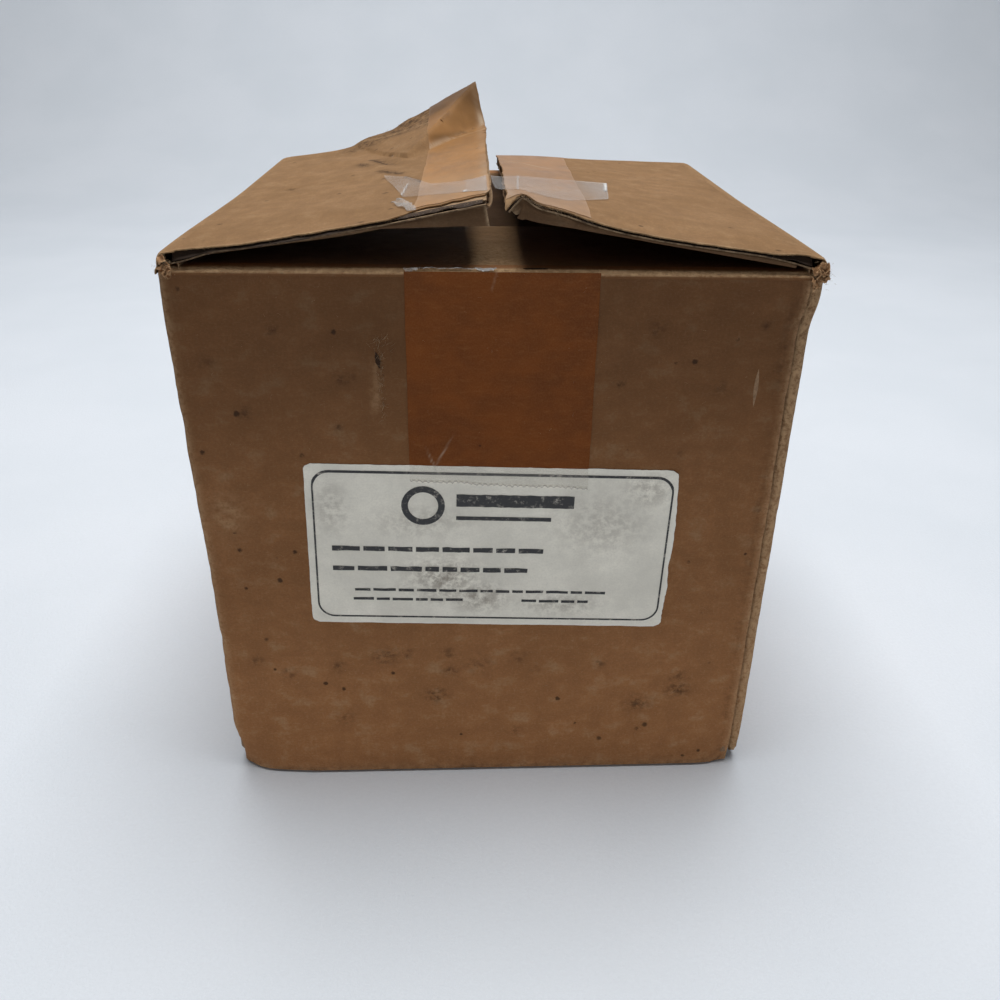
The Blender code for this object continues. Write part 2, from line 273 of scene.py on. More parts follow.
def kraft(name, colour, worn, stain, flute_contrast=0.5, dirt_amount=1.0):
    """Brown paper: fibre flecks, streaks over the flutes, specks, stains, and pale worn places; the painted
    attributes also bring painted shade and a painted pool of light.
    """
    nodes = Nodes(name)
    plain = nodes.uv()
    along = nodes.uv((1.0, 0.14, 1.0))
    streaks = nodes.noise(along, 15.0, 4.0, 0.6)
    clouds = nodes.noise(plain, 3.6, 4.0, 0.55)
    fibres = nodes.noise(nodes.uv((0.45, 1.0, 1.0)), 330.0, 3.0, 0.7)
    grains = nodes.noise(plain, 120.0, 3.0, 0.65)
    mottle = nodes.noise(nodes.uv((0.75, 1.0, 1.0)), 17.0, 5.0, 0.62)
    hairs = nodes.noise(nodes.uv((0.25, 1.0, 1.0)), 150.0, 2.0, 0.5)
    cross_hairs = nodes.noise(nodes.uv((1.0, 0.3, 1.0)), 140.0, 2.0, 0.5)
    tone = nodes.mix(nodes.ramp(streaks, 0.34, 0.68), shade(colour, 1.0 - 0.22 * flute_contrast),
                     shade(colour, 1.0 + 0.18 * flute_contrast))
    tone = nodes.mix(nodes.ramp(clouds, 0.3, 0.72, 0.0, 0.65), tone, shade(colour, 0.80))
    tone = nodes.mix(nodes.ramp(mottle, 0.34, 0.60, 0.55, 0.0), tone, shade(colour, 0.70))
    tone = nodes.mix(nodes.ramp(mottle, 0.52, 0.70, 0.0, 0.40), tone, shade(worn, 0.75))
    tone = nodes.mix(nodes.ramp(grains, 0.36, 0.66, 0.35, 0.0), tone, shade(colour, 0.62))
    tone = nodes.mix(nodes.ramp(fibres, 0.50, 0.72, 0.0, 0.22), tone, shade(worn, 0.92))
    tone = nodes.mix(nodes.ramp(hairs, 0.60, 0.72, 0.0, 0.10), tone, shade(worn, 0.95))
    tone = nodes.mix(nodes.ramp(cross_hairs, 0.60, 0.74, 0.0, 0.12), tone, shade(worn, 0.90))
    # Painted shade: the third painted attribute darkens the paper towards this tone.
    tone = nodes.mix(nodes.attribute("grime"), tone, PAINTED_SHADE_TONE)
    tone = nodes.mix(nodes.maths("MULTIPLY", nodes.spots(plain, 7.0, 0.45, 0.055), 0.75 * dirt_amount),
                     tone, stain)
    tone = nodes.mix(nodes.maths("MULTIPLY", nodes.spots(plain, 20.0, 0.62, 0.12), 0.85 * dirt_amount),
                     tone, stain)
    # The dirt attribute brings real dirt and stains, and also painted shade under the top flaps' front edges.
    dirt = nodes.attribute("dirt")
    patchy = nodes.ramp(nodes.noise(plain, 44.0, 5.0, 0.7), 0.40, 0.62, 0.10, 1.0)
    soiled = nodes.maths("MAXIMUM", nodes.maths("MULTIPLY", dirt, patchy), nodes.ramp(dirt, 0.9, 1.0))
    tone = nodes.mix(soiled, tone, stain)
    # The wear attribute brings rubbed, pale paper, and also a painted pool of light on the front inner flap.
    wear = nodes.attribute("wear")
    fluff = nodes.ramp(nodes.noise(plain, 60.0, 5.0, 0.75), 0.34, 0.58, 0.25, 1.0)
    rubbed = nodes.maths("MAXIMUM", nodes.maths("MULTIPLY", wear, fluff),
                         nodes.ramp(wear, 0.8, 1.0, 0.0, 0.75))
    tone = nodes.mix(rubbed, tone, worn)
    nodes.link(tone, nodes.shader.inputs["Base Color"])
    nodes.link(nodes.ramp(clouds, 0.2, 0.8, 0.78, 0.92), nodes.shader.inputs["Roughness"])
    nodes.shader.inputs["Specular IOR Level"].default_value = 0.12
    relief = nodes.maths("ADD", nodes.maths("MULTIPLY", streaks, 0.4), nodes.maths("MULTIPLY", fibres, 0.3))
    relief = nodes.maths("ADD", relief, nodes.maths("MULTIPLY", mottle, 0.5))
    rough = nodes.maths("MULTIPLY", nodes.maths("MULTIPLY", wear, fluff), 1.5)
    nodes.bump(nodes.maths("ADD", relief, rough), 0.00022, 0.9)
    return nodes.material


def medium_paper():
    """Rough recycled paper of the flutes."""
    nodes = Nodes("flute_paper")
    plain = nodes.uv()
    fibres = nodes.noise(plain, 120.0, 4.0, 0.7)
    tone = nodes.mix(nodes.ramp(fibres, 0.3, 0.7), (0.20, 0.115, 0.06), (0.33, 0.205, 0.115))
    # Painted shade: the dirt attribute takes the flutes almost to black along the top flaps' crushed front
    # edges.
    tone = nodes.mix(nodes.attribute("dirt"), tone, (0.020, 0.010, 0.006))
    nodes.link(tone, nodes.shader.inputs["Base Color"])
    nodes.link(nodes.ramp(fibres, 0.2, 0.8, 0.82, 0.97), nodes.shader.inputs["Roughness"])
    nodes.bump(fibres, 0.0002, 0.8)
    return nodes.material


def tinted_tape(name, colour, fleck, gloss):
    """Brown-tinted tape stuck flat: the paper's marks show through a smooth film."""
    nodes = Nodes(name)
    plain = nodes.uv()
    along = nodes.uv((0.22, 1.0, 1.0))
    streaks = nodes.noise(along, 16.0, 4.0, 0.6)
    clouds = nodes.noise(plain, 5.0, 4.0, 0.6)
    fibres = nodes.noise(plain, 230.0, 3.0, 0.7)
    brush = nodes.noise(nodes.uv((0.28, 1.0, 1.0)), 95.0, 4.0, 0.68)
    mottle = nodes.noise(nodes.uv((0.6, 1.0, 1.0)), 20.0, 5.0, 0.65)
    tone = nodes.mix(nodes.ramp(clouds, 0.3, 0.7), shade(colour, 0.80), shade(colour, 1.14))
    tone = nodes.mix(nodes.ramp(mottle, 0.40, 0.66, 0.0, 0.5), tone, shade(colour, 1.35))
    tone = nodes.mix(nodes.ramp(brush, 0.50, 0.74, 0.0, 0.22), tone, shade(fleck, 1.0))
    tone = nodes.mix(nodes.ramp(streaks, 0.35, 0.75, 0.0, 0.22), tone, shade(colour, 1.2))
    tone = nodes.mix(nodes.ramp(fibres, 0.35, 0.75, 0.0, 0.25), tone, fleck)
    tone = nodes.mix(nodes.maths("MULTIPLY", nodes.spots(plain, 14.0, 0.6, 0.06), 0.8), tone,
                     shade(colour, 0.3))
    # The dirt attribute brings dirt, and on the left seam tape also painted shade in the corner's fold.
    dirt = nodes.attribute("dirt")
    tone = nodes.mix(dirt, tone, shade(colour, 0.42))
    # The wear attribute brings pale rubbed places, and on the left seam tape also painted light towards the
    # front and a painted glint.
    wear = nodes.attribute("wear")
    tone = nodes.mix(wear, tone, (0.45, 0.34, 0.24))
    nodes.link(tone, nodes.shader.inputs["Base Color"])
    nodes.link(nodes.ramp(clouds, 0.25, 0.75, gloss, gloss + 0.16), nodes.shader.inputs["Roughness"])
    nodes.shader.inputs["Specular IOR Level"].default_value = 0.08
    nodes.shader.inputs["Coat Weight"].default_value = 0.03
    nodes.shader.inputs["Coat Roughness"].default_value = 0.25
    nodes.bump(nodes.maths("ADD", streaks, nodes.maths("MULTIPLY", fibres, 0.25)), 0.00012, 0.7)
    return nodes.material


def clear_film(name, colour, alpha, roughness):
    """Milky clear tape with fine creases."""
    nodes = Nodes(name)
    plain = nodes.uv()
    along = nodes.uv((0.3, 1.0, 1.0))
    creases = nodes.noise(along, 30.0, 5.0, 0.7)
    clouds = nodes.noise(plain, 9.0, 3.0, 0.6)
    tone = nodes.mix(nodes.ramp(creases, 0.4, 0.7), shade(colour, 0.86), shade(colour, 1.12))
    nodes.link(tone, nodes.shader.inputs["Base Color"])
    white = nodes.attribute("wear")
    milk = nodes.ramp(clouds, 0.3, 0.7, alpha * 0.72, alpha * 1.2)
    nodes.link(nodes.maths("MAXIMUM", milk, nodes.maths("MULTIPLY", white, 0.95)),
               nodes.shader.inputs["Alpha"])
    nodes.link(nodes.ramp(clouds, 0.3, 0.7, roughness, roughness + 0.15), nodes.shader.inputs["Roughness"])
    nodes.bump(creases, 0.0002, 0.8)
    return nodes.material


def label_paper():
    """Aged off-white label: yellowed, rubbed and stained."""
    nodes = Nodes("label_face")
    plain = nodes.uv()
    clouds = nodes.noise(plain, 4.5, 5.0, 0.6)
    fibres = nodes.noise(plain, 170.0, 3.0, 0.65)
    scuffs = nodes.noise(nodes.uv((1.0, 2.4, 1.0)), 30.0, 5.0, 0.75)
    base = (0.88, 0.84, 0.735)
    tone = nodes.mix(nodes.ramp(clouds, 0.3, 0.7), shade(base, 0.86), shade(base, 1.08))
    tone = nodes.mix(nodes.ramp(fibres, 0.3, 0.75, 0.0, 0.3), tone, shade(base, 0.72))
    tone = nodes.mix(nodes.ramp(scuffs, 0.62, 0.80, 0.0, 0.6), tone, (0.34, 0.29, 0.22))
    dirt = nodes.attribute("dirt")
    patchy = nodes.ramp(nodes.noise(plain, 32.0, 5.0, 0.75), 0.36, 0.62)
    tone = nodes.mix(nodes.maths("MULTIPLY", dirt, patchy), tone, (0.16, 0.12, 0.085))
    wear = nodes.attribute("wear")
    tone = nodes.mix(wear, tone, (0.86, 0.83, 0.75))
    nodes.link(tone, nodes.shader.inputs["Base Color"])
    nodes.link(nodes.ramp(clouds, 0.2, 0.8, 0.5, 0.68), nodes.shader.inputs["Roughness"])
    nodes.bump(nodes.maths("ADD", nodes.maths("MULTIPLY", scuffs, 0.7), fibres), 0.0001, 0.6)
    return nodes.material


def printed_ink():
    """Faded black print with paper showing through where it is rubbed."""
    nodes = Nodes("label_ink")
    plain = nodes.uv()
    rubbed = nodes.noise(plain, 42.0, 5.0, 0.8)
    tone = nodes.mix(nodes.ramp(rubbed, 0.52, 0.70), (0.02, 0.02, 0.022), (0.40, 0.37, 0.32))
    nodes.link(tone, nodes.shader.inputs["Base Color"])
    nodes.link(nodes.ramp(rubbed, 0.3, 0.7, 0.45, 0.6), nodes.shader.inputs["Roughness"])
    nodes.bump(rubbed, 0.00005, 0.5)
    return nodes.material


def fibre_paper():
    """Loose paper fibres and lifted scraps of liner."""
    nodes = Nodes("torn_fibre")
    plain = nodes.uv()
    spread = nodes.noise(plain, 35.0, 3.0, 0.6)
    tone = nodes.mix(nodes.ramp(spread, 0.35, 0.65), (0.20, 0.12, 0.065), (0.56, 0.41, 0.25))
    nodes.link(tone, nodes.shader.inputs["Base Color"])
    nodes.link(nodes.ramp(spread, 0.2, 0.8, 0.8, 0.95), nodes.shader.inputs["Roughness"])
    nodes.bump(spread, 0.0001, 0.6)
    return nodes.material


def floor_paint():
    nodes = Nodes("floor_pale")
    place = nodes.add("ShaderNodeTexCoord").outputs["Object"]
    grain = nodes.noise(place, 900.0, 3.0, 0.7)
    clouds = nodes.noise(place, 9.0, 3.0, 0.5)
    tone = nodes.mix(nodes.ramp(clouds, 0.3, 0.7), (0.735, 0.785, 0.85), (0.775, 0.82, 0.885))
    tone = nodes.mix(nodes.ramp(grain, 0.3, 0.7, 0.0, 0.3), tone, (0.70, 0.74, 0.80))
    nodes.link(tone, nodes.shader.inputs["Base Color"])
    nodes.shader.inputs["Roughness"].default_value = 0.7
    nodes.bump(grain, 0.0004, 0.5)
    return nodes.material


STAIN = (0.040, 0.021, 0.012)
WALL_KRAFT = kraft("kraft_wall", (0.390, 0.177, 0.072), (0.62, 0.41, 0.23), STAIN, 0.25)
FLAP_KRAFT = kraft("kraft_flap", (0.300, 0.170, 0.080), (0.47, 0.305, 0.165), STAIN, 0.35, 0.7)
INNER_KRAFT = kraft("kraft_inside", (0.270, 0.158, 0.082), (0.52, 0.37, 0.23), STAIN, 0.5, 0.4)
FLUTE_PAPER = medium_paper()
WALL_TAPE = tinted_tape("tape_over_wall", (0.158, 0.042, 0.006), (0.34, 0.140, 0.045), 0.40)
FLAP_TAPE = tinted_tape("tape_over_flap", (0.320, 0.158, 0.056), (0.42, 0.25, 0.115), 0.42)
RIGHT_TAPE = tinted_tape("tape_over_right_flap", (0.292, 0.160, 0.080), (0.38, 0.24, 0.14), 0.42)
MILKY_FILM = clear_film("tape_milky", (0.72, 0.695, 0.67), 0.10, 0.3)
CLEAR_FILM = clear_film("tape_over_label", (0.66, 0.62, 0.54), 0.07, 0.2)
SCRAP_FILM = clear_film("tape_scrap", (0.66, 0.64, 0.62), 0.26, 0.2)
LABEL_PAPER = label_paper()
LABEL_INK = printed_ink()
FIBRE = fibre_paper()


# ---------------------------------------------------------------- meshes
def grid_uv(obj, uv, count):
    corners = np.empty(len(obj.data.loops), np.int32)
    obj.data.loops.foreach_get("vertex_index", corners)
    layer = obj.data.uv_layers.new(name="Panel")
    layer.data.foreach_set("uv", uv[corners % count].astype(np.float32).ravel())


def signed_volume(points, faces):
    a, b, c, d = (points[faces[:, k]] for k in range(4))
    first = np.einsum("ij,ij->i", a, np.cross(b, c)).sum()
    second = np.einsum("ij,ij->i", a, np.cross(c, d)).sum()
    return first + second


def new_object(name, points, faces, material):
    data = bpy.data.meshes.new(name)
    data.from_pydata((points / METRE).tolist(), [], faces.tolist())
    data.shade_smooth()
    data.set_sharp_from_angle(angle=math.radians(48))
    data.materials.append(material)
    made = bpy.data.objects.new(name, data)
    bpy.context.scene.collection.objects.link(made)
    return made


def sheet(name, outer, inner, uv, material, wear=0.0, dirt=0.0, grime=0.0):
    """Closed thin sheet between two grids of points, with one UV layout and three painted attributes."""
    rows, cols = outer.shape[:2]
    count = rows * cols
    index = np.arange(count).reshape(rows, cols)
    quad = [index[:-1, :-1], index[:-1, 1:], index[1:, 1:], index[1:, :-1]]
    top = np.stack(quad, -1).reshape(-1, 4)
    bottom = top[:, ::-1] + count
    border = np.concatenate((index[0, :], index[1:, -1], index[-1, -2::-1], index[-2:0:-1, 0]))
    ahead = np.roll(border, -1)
    rim = np.stack((ahead, border, border + count, ahead + count), -1)
    faces = np.concatenate((top, bottom, rim))
    points = np.concatenate((outer.reshape(-1, 3), inner.reshape(-1, 3)))
    if signed_volume(points, faces) < 0:
        faces = faces[:, ::-1]
    made = new_object(name, points, faces, material)
    grid_uv(made, uv.reshape(-1, 2), count)
    for label, values in (("wear", wear), ("dirt", dirt), ("grime", grime)):
        spread = np.broadcast_to(values, (rows, cols)).ravel()
        attribute = made.data.attributes.new(label, "FLOAT", "POINT")
        attribute.data.foreach_set("value", np.tile(spread, 2).astype(np.float32))
    return made


def grid(s_values, t_low, t_high, rows):
    """(s, t) arrays; t_low and t_high may vary with s."""
    s_values = np.asarray(s_values, float)
    share = np.linspace(0.0, 1.0, rows)[:, None]
    low = np.broadcast_to(t_low, s_values.shape)
    high = np.broadcast_to(t_high, s_values.shape)
    t = low[None, :] + share * (high - low)[None, :]
    s = np.broadcast_to(s_values[None, :], t.shape)
    return s.copy(), t


def stations(low, high, step):
    return np.linspace(low, high, max(2, round((high - low) / step) + 1))


def flat(origin, s_axis, t_axis, n_axis):
    """Surface function of a flat panel."""
    origin, s_axis, t_axis, n_axis = (np.array(v, float) for v in (origin, s_axis, t_axis, n_axis))

    def place(s, t, n):
        s, t, n = (np.asarray(v, float)[..., None] for v in np.broadcast_arrays(s, t, n))
        return origin + s * s_axis + t * t_axis + n * n_axis

    return place


def bent(surface, inward, step=1.2):
    """Surface function of a curved panel: depth runs along the surface's own normal."""
    inward = np.array(inward, float)

    def place(s, t, n):
        s, t, n = (np.asarray(v, float) for v in np.broadcast_arrays(s, t, n))
        across = surface(s + step, t) - surface(s - step, t)
        along = surface(s, t + step) - surface(s, t - step)
        normal = unit(np.cross(across, along))
        normal = normal * np.sign(normal @ inward)[..., None]
        return surface(s, t) + n[..., None] * normal

    return place


def lay(name, place, s, t, n_outer, n_inner, material, body, replaces=(), wear=0.0, dirt=0.0,
        offset=(0, 0),
        grime=0.0):
    """Sheet on a panel between two depths, riding on a body."""
    uv = np.stack((s / UV_UNIT + offset[0], t / UV_UNIT + offset[1]), -1)
    made = sheet(name, place(s, t, n_outer), place(s, t, n_inner), uv, material, wear, dirt, grime)
    if body:
        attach(made, body)
    if replaces:
        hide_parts(*replaces)
    return made


def flutes(name, place, s, t, body, node, squeeze=1.0, dirt=0.0):
    """Wavy middle ply; squeeze is the thickness left of the board, 0..1."""
    middle = (BOARD / 2) * squeeze
    rise = (BOARD / 2 - LINER - MEDIUM / 2 - 0.12) * squeeze
    wave = middle + rise * np.cos(2 * math.pi * (s + SIDE) / FLUTE_PITCH)
    return lay(name, place, s, t, wave - MEDIUM / 2, wave + MEDIUM / 2, FLUTE_PAPER, body,
               (node,) if node else (), dirt=dirt)


def finer(s_values):
    """Stations for a wavy ply over the same span."""
    return stations(s_values[0], s_values[-1], FLUTE_PITCH / 12)


# ---------------------------------------------------------------- walls
def wall_path():
    """Plan of the outer face, from the front's free edge round to behind it: (x, y), distance."""
    r = FOLD_RADIUS
    points = []

    def straight(start, end, step):
        count = max(2, round(math.dist(start, end) / step))
        for k in range(count):
            share = k / count
            points.append((start[0] + share * (end[0] - start[0]), start[1] + share * (end[1] - start[1])))

    def turn(centre, start, end, radius, count=7):
        for k in range(count):
            angle = math.radians(start + (end - start) * k / count)
            points.append((centre[0] + radius * math.cos(angle), centre[1] + radius * math.sin(angle)))

    edge = SIDE - r
    straight((FREE_EDGE, -SIDE), (-edge, -SIDE), 1.15)
    turn((-edge, -edge), 270, 180, r)
    straight((-SIDE, -edge), (-SIDE, edge), 2.4)
    turn((-edge, edge), 180, 90, r)
    straight((-edge, SIDE), (edge, SIDE), 2.4)
    turn((edge, edge), 90, 0, r)
    fold = 2.0
    fold_y = -SIDE + 1.3 + fold
    straight((SIDE, edge), (SIDE, fold_y), 1.8)
    turn((SIDE - fold, fold_y), 0, -135, fold, 12)
    knee = (SIDE - fold - fold * math.sin(math.radians(45)), fold_y - fold * math.sin(math.radians(45)))
    straight(knee, (FREE_EDGE, -SIDE + BOARD + 0.5), 0.5)
    straight((FREE_EDGE, -SIDE + BOARD + 0.5), (FREE_EDGE - 3.0, -SIDE + BOARD + 0.5), 1.0)
    points.append((FREE_EDGE - 3.0, -SIDE + BOARD + 0.5))
    points = np.array(points)
    length = np.concatenate(([0.0], np.cumsum(np.linalg.norm(np.diff(points, axis=0), axis=1))))
    return points, length


# Stains on the front wall: x, z, radius, strength
FRONT_STAINS = (
    (-31.5, 42.5, 3.4, 0.9), (-25.5, 43.5, 2.0, 0.9), (-13.0, 43.5, 2.2, 0.7), (-12.0, 37.0, 2.4, 0.8),
    (-16.5, 28.0, 3.4, 0.85), (-45.5, 38.5, 1.8, 0.9), (-60.0, 36.5, 2.0, 0.85), (-69.0, 41.0, 2.2, 0.6),
    (-44.0, 20.0, 3.0, 0.45), (-4.0, 39.5, 4.6, 0.4), (7.5, 42.0, 2.4, 0.6), (13.0, 38.0, 1.3, 0.8),
    (32.0, 39.0, 2.0, 0.7), (56.5, 34.5, 2.4, 0.85), (56.5, 29.5, 3.6, 0.85), (44.5, 24.5, 3.8, 0.75),
    (7.5, 14.5, 1.6, 0.9), (-53.8, 141.5, 1.2, 0.95), (-37.5, 129.0, 2.4, 0.7), (-62.5, 119.5, 2.2, 0.65),
    (-40.0, 115.5, 0.9, 0.95), (-70.0, 133.5, 2.0, 0.5), (40.0, 142.5, 2.4, 0.6), (31.5, 127.5, 1.2, 0.95),
    (57.5, 127.0, 2.2, 0.5), (49.0, 108.0, 1.0, 1.0), (43.5, 97.0, 1.8, 0.6), (67.0, 143.5, 1.2, 0.7),
)
CRACK_X = -29.5
CRACK_TOP = 134.0
CRACK_FOOT = 119.0


def push_out(x, y, z):
    """Sideways shift of a wall point where the front corners lean out of square."""
    near_front = smooth(-y, -10.0, SIDE - 4.0)
    left = LEAN * smooth(z, 40.0, 152.0) * smooth(-x, 10.0, SIDE)
    right = FLARE * smooth(z, 141.0, 152.0) * smooth(x, 30.0, SIDE)
    return (right - left) * near_front


def foot_swell(x):
    """How far the foot of the front wall bows forward."""
    return np.interp(x, (-SIDE, -72.0, -55.0, -20.0, 20.0, 60.0, SIDE), (0.0, 1.7, 2.7, 2.2, 1.5, 0.8, 0.3))


def make_wall_skin():
    points, length = wall_path()
    total = length[-1]
    count = len(points)
    forward = np.gradient(points, length, axis=0)
    outward = unit(np.stack((-forward[:, 1], forward[:, 0]), -1))
    outward = outward * np.sign((outward * points).sum(1).mean())
    x, y = points[:, 0], points[:, 1]
    on_front = smooth(-y, SIDE - 1.6, SIDE - 0.2) * (length < 2 * SIDE)
    on_back = smooth(y, SIDE - 1.6, SIDE - 0.2)
    foot = SIDE_FOOT + (FRONT_FOOT - SIDE_FOOT) * np.clip(on_front + on_back, 0, 1)
    radius = (1.9 - 1.1 * np.clip(on_front + on_back, 0, 1))[None, :]
    rows = 96
    curve_rows = 7
    angle = np.concatenate((np.linspace(90, 0, curve_rows), np.zeros(rows - curve_rows)))
    angle = np.radians(angle)[:, None]
    rise = np.concatenate((np.zeros(curve_rows), np.linspace(0, 1, rows - curve_rows + 1)[1:]))[:, None]
    straight_foot = foot[None, :] + radius
    z = foot[None, :] + radius * (1 - np.sin(angle)) + rise * (STRIP_START - straight_foot)
    inset = radius * (1 - np.cos(angle)) + np.zeros_like(z)
    front = on_front[None, :] + np.zeros_like(z)

    sunk = waviness(length[None, :] * np.ones_like(z), z, 5, 0.30)
    sunk = sunk * smooth(z, 6.0, 22.0) * smooth(STRIP_START - z, 0.0, 12.0)
    corner_line = np.minimum(np.abs(np.abs(x) - SIDE), 12.0) / 12.0
    side_line = np.minimum(np.abs(np.abs(y) - SIDE), 12.0) / 12.0
    near_corner = np.clip(np.maximum(corner_line, side_line), 0, 1)[None, :]
    sunk = sunk * near_corner
    wrinkle = 0.28 * np.sin(2 * math.pi * (z - 0.35 * x[None, :]) / 5.2)
    wrinkle = wrinkle * bump(x[None, :], -71.0, 6.0) * bump(z, 90.0, 5.5) * front
    crack = 0.35 * bump(x[None, :] - 0.05 * (z - CRACK_TOP), CRACK_X - 0.6 * torn(z, 3, 3.0), 0.9)
    crack = crack * smooth(z, CRACK_FOOT - 1, CRACK_FOOT + 3) * smooth(CRACK_TOP + 1 - z, 0, 3) * front
    crushed = 3.4 * bump(x[None, :], -SIDE, 7.0) * bump(z, 2.0, 8.0) * bump(y[None, :], -SIDE, 6.0)
    crushed = crushed - foot_swell(x)[None, :] * bump(z, 0.0, 15.0) * front
    crushed = (crushed + 1.6 * bump(x[None, :], SIDE - 4, 5.0) * bump(z, 2.0, 6.0)
               * bump(y[None, :], -SIDE, 4.0))
    dents = 0.5 * bump(x[None, :], 68.0, 6.0) * bump(z, 128.0, 9.0) * front
    ragged = 0.5 * (torn(z, 11, 7.0, 1.3) - 0.5) * bump(length, 0.0, 2.0)[None, :]
    corner = bump(np.abs(x), SIDE, 2.6) * bump(np.abs(y), SIDE, 2.6)
    knocked = ((0.75 * torn(z + 20 * np.sign(x)[None, :] * np.sign(y)[None, :], 13, 6.0, 1.6) ** 2)
               * corner[None, :])
    depth = inset + np.abs(sunk) * 0.6 + wrinkle * 0.5 + crack + crushed + dents + knocked

    plan = points[None, :, :] - outward[None, :, :] * depth[..., None]
    sideways = ragged + push_out(x[None, :], y[None, :], z)
    plan = plan + np.stack((sideways, np.zeros_like(ragged)), -1)
    outer = np.concatenate((plan, z[..., None]), -1)
    across = np.gradient(outer, axis=1)
    upward = np.gradient(outer, axis=0)
    normal = unit(np.cross(across, upward))
    facing = np.concatenate((outward[None, :, :] + np.zeros_like(plan),
                             -1.0 * (np.sin(angle) + 0 * z)[..., None]), -1)
    normal = normal * np.sign((normal * facing).sum(-1))[..., None]
    inner = outer - LINER * normal

    uv = np.stack((length[None, :] / UV_UNIT + 0 * z, z / UV_UNIT), -1)
    fold = np.clip(bump(x[None, :] + SIDE, 0, 1.7) * bump(y[None, :] + SIDE, 0, 1.7), 0, 1)
    behind = smooth(length, total - 13.0, total - 9.5)[None, :] * smooth(y[None, :], -SIDE - 1, -SIDE + 0.4)
    free = bump(length, 0.0, 1.0)[None, :]
    low_edge = bump(z, foot[None, :], 2.4)
    wear = 0.75 * behind + 0.4 * free + 0.55 * fold + 0.2 * low_edge + 0.7 * np.clip(crack, 0, 1)
    wear = wear + 0.35 * np.abs(wrinkle) / 0.28 * bump(x[None, :], -71.0, 6.0)
    wear = wear * (0.55 + 0.9 * torn(length[None, :] * 0.5 + z, 21, 6.0, 1.5))
    dirt = np.zeros_like(z)
    for stain_x, stain_z, size, strength in FRONT_STAINS:
        spot = bump(x[None, :], stain_x, size) * bump(z, stain_z, size * 0.7)
        dirt = np.maximum(dirt, strength * spot)
    dirt = dirt * front
    # Painted shade: the walls get darker towards the top, in place of light that falls off higher up the
    # wall.
    grime = 0.31 * smooth(z, 12.0, 80.0) + 0.33 * smooth(z, 80.0, 150.0)
    grime = grime * (0.90 + 0.20 * torn(length[None, :] * 0.37 + z * 0.61, 31, 9.0, 2.3))
    dirt = dirt + 0.30 * bump(z, foot[None, :], 7.0) * torn(length[None, :], 32, 14.0, 4.0)
    dirt = dirt + 0.55 * bump(length, 2.6, 1.2)[None, :] * front * torn(z, 33, 8.0, 2.0)
    dirt = dirt + 0.4 * bump(z, foot[None, :] + 0.2, 1.4)
    made = sheet("walls_outer_liner", outer, inner, uv, WALL_KRAFT, np.clip(wear, 0, 1),
                 np.clip(dirt, 0, 0.9),
                 grime)
    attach(made, "carton_shell")
    names = [f"{side}_wall_outer_liner" for side in ("front", "back", "left", "right")]
    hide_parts(*names, "glue_tab_outer_liner")


def wall_axes(side):
    """Flat surface function and half width of a wall."""
    half = SIDE if side in ("left", "right") else SIDE - BOARD - 0.3
    axes = {
        "front": ((0, -SIDE, 0), (1, 0, 0), (0, 1, 0)),
        "back": ((0, SIDE, 0), (-1, 0, 0), (0, -1, 0)),
        "left": ((-SIDE, 0, 0), (0, -1, 0), (1, 0, 0)),
        "right": ((SIDE, 0, 0), (0, 1, 0), (-1, 0, 0)),
    }
    origin, across, inward = axes[side]
    return flat(origin, across, (0, 0, 1), inward), half


def make_wall_cores():
    """Inner liner and flutes of the four walls."""
    for side in ("front", "back", "left", "right"):
        place, half = wall_axes(side)
        low, high = -half, half
        if side == "front":
            high = FREE_EDGE
        reach = SIDE - BOARD + 0.05
        s, t = grid(stations(-reach, min(high, reach), 3.0), WALL_FOOT + 0.6, STRIP_START + 1.2, 40)
        uneven = 0.10 * np.sin(2 * math.pi * s / FLUTE_PITCH)
        # Darker towards the bottom of the inside, with random patches.
        stain = 0.25 * smooth(30.0 - t, 0, 30) + 0.2 * torn(s + 0.4 * t, 41, 12.0, 3.0) ** 3
        lay(f"{side}_wall_inner_skin", place, s, t, BOARD - LINER + uneven * 0.5, BOARD + uneven * 0.5,
            INNER_KRAFT, "carton_shell", (f"{side}_wall_inner_liner",), 0.0, stain, (0.3, 0.7))
        ends = (low + FOLD_RADIUS + 0.5, min(high, high if side == "front" else half - FOLD_RADIUS - 0.5))
        s, t = grid(finer(stations(ends[0], ends[1], 3.0)), WALL_FOOT + 1.0, STRIP_START + 0.6, 6)
        flutes(f"{side}_wall_flutes", place, s, t, "carton_shell", f"{side}_wall_flute_medium")


def make_tab():
    """The joint's tab: glued inside the front wall, its cut edges bare."""
    place = flat((0, -SIDE + BOARD + 0.3, 0), (1, 0, 0), (0, 0, 1), (0, 1, 0))
    low, high = TAB_LOW[0] + 0.3, SIDE - BOARD - 0.2
    s_values = stations(low, high, 2.0)
    s, t = grid(s_values, TAB_LOW[2], TAB_HIGH[2], 40)
    ragged = 0.5 * (torn(t, 51) - 0.5) * bump(s, low, 2.5)
    wear = 0.7 * bump(s, low, 1.2)
    lay("glue_tab_inner_skin", place, s + ragged, t, BOARD - LINER, BOARD, INNER_KRAFT, "carton_shell",
        ("glue_tab_inner_liner",), wear, 0.1, (0.1, 0.2))
    s, t = grid(finer(s_values), TAB_LOW[2], TAB_HIGH[2], 6)
    flutes("glue_tab_flutes", place, s, t, "carton_shell", "glue_tab_flute_medium")


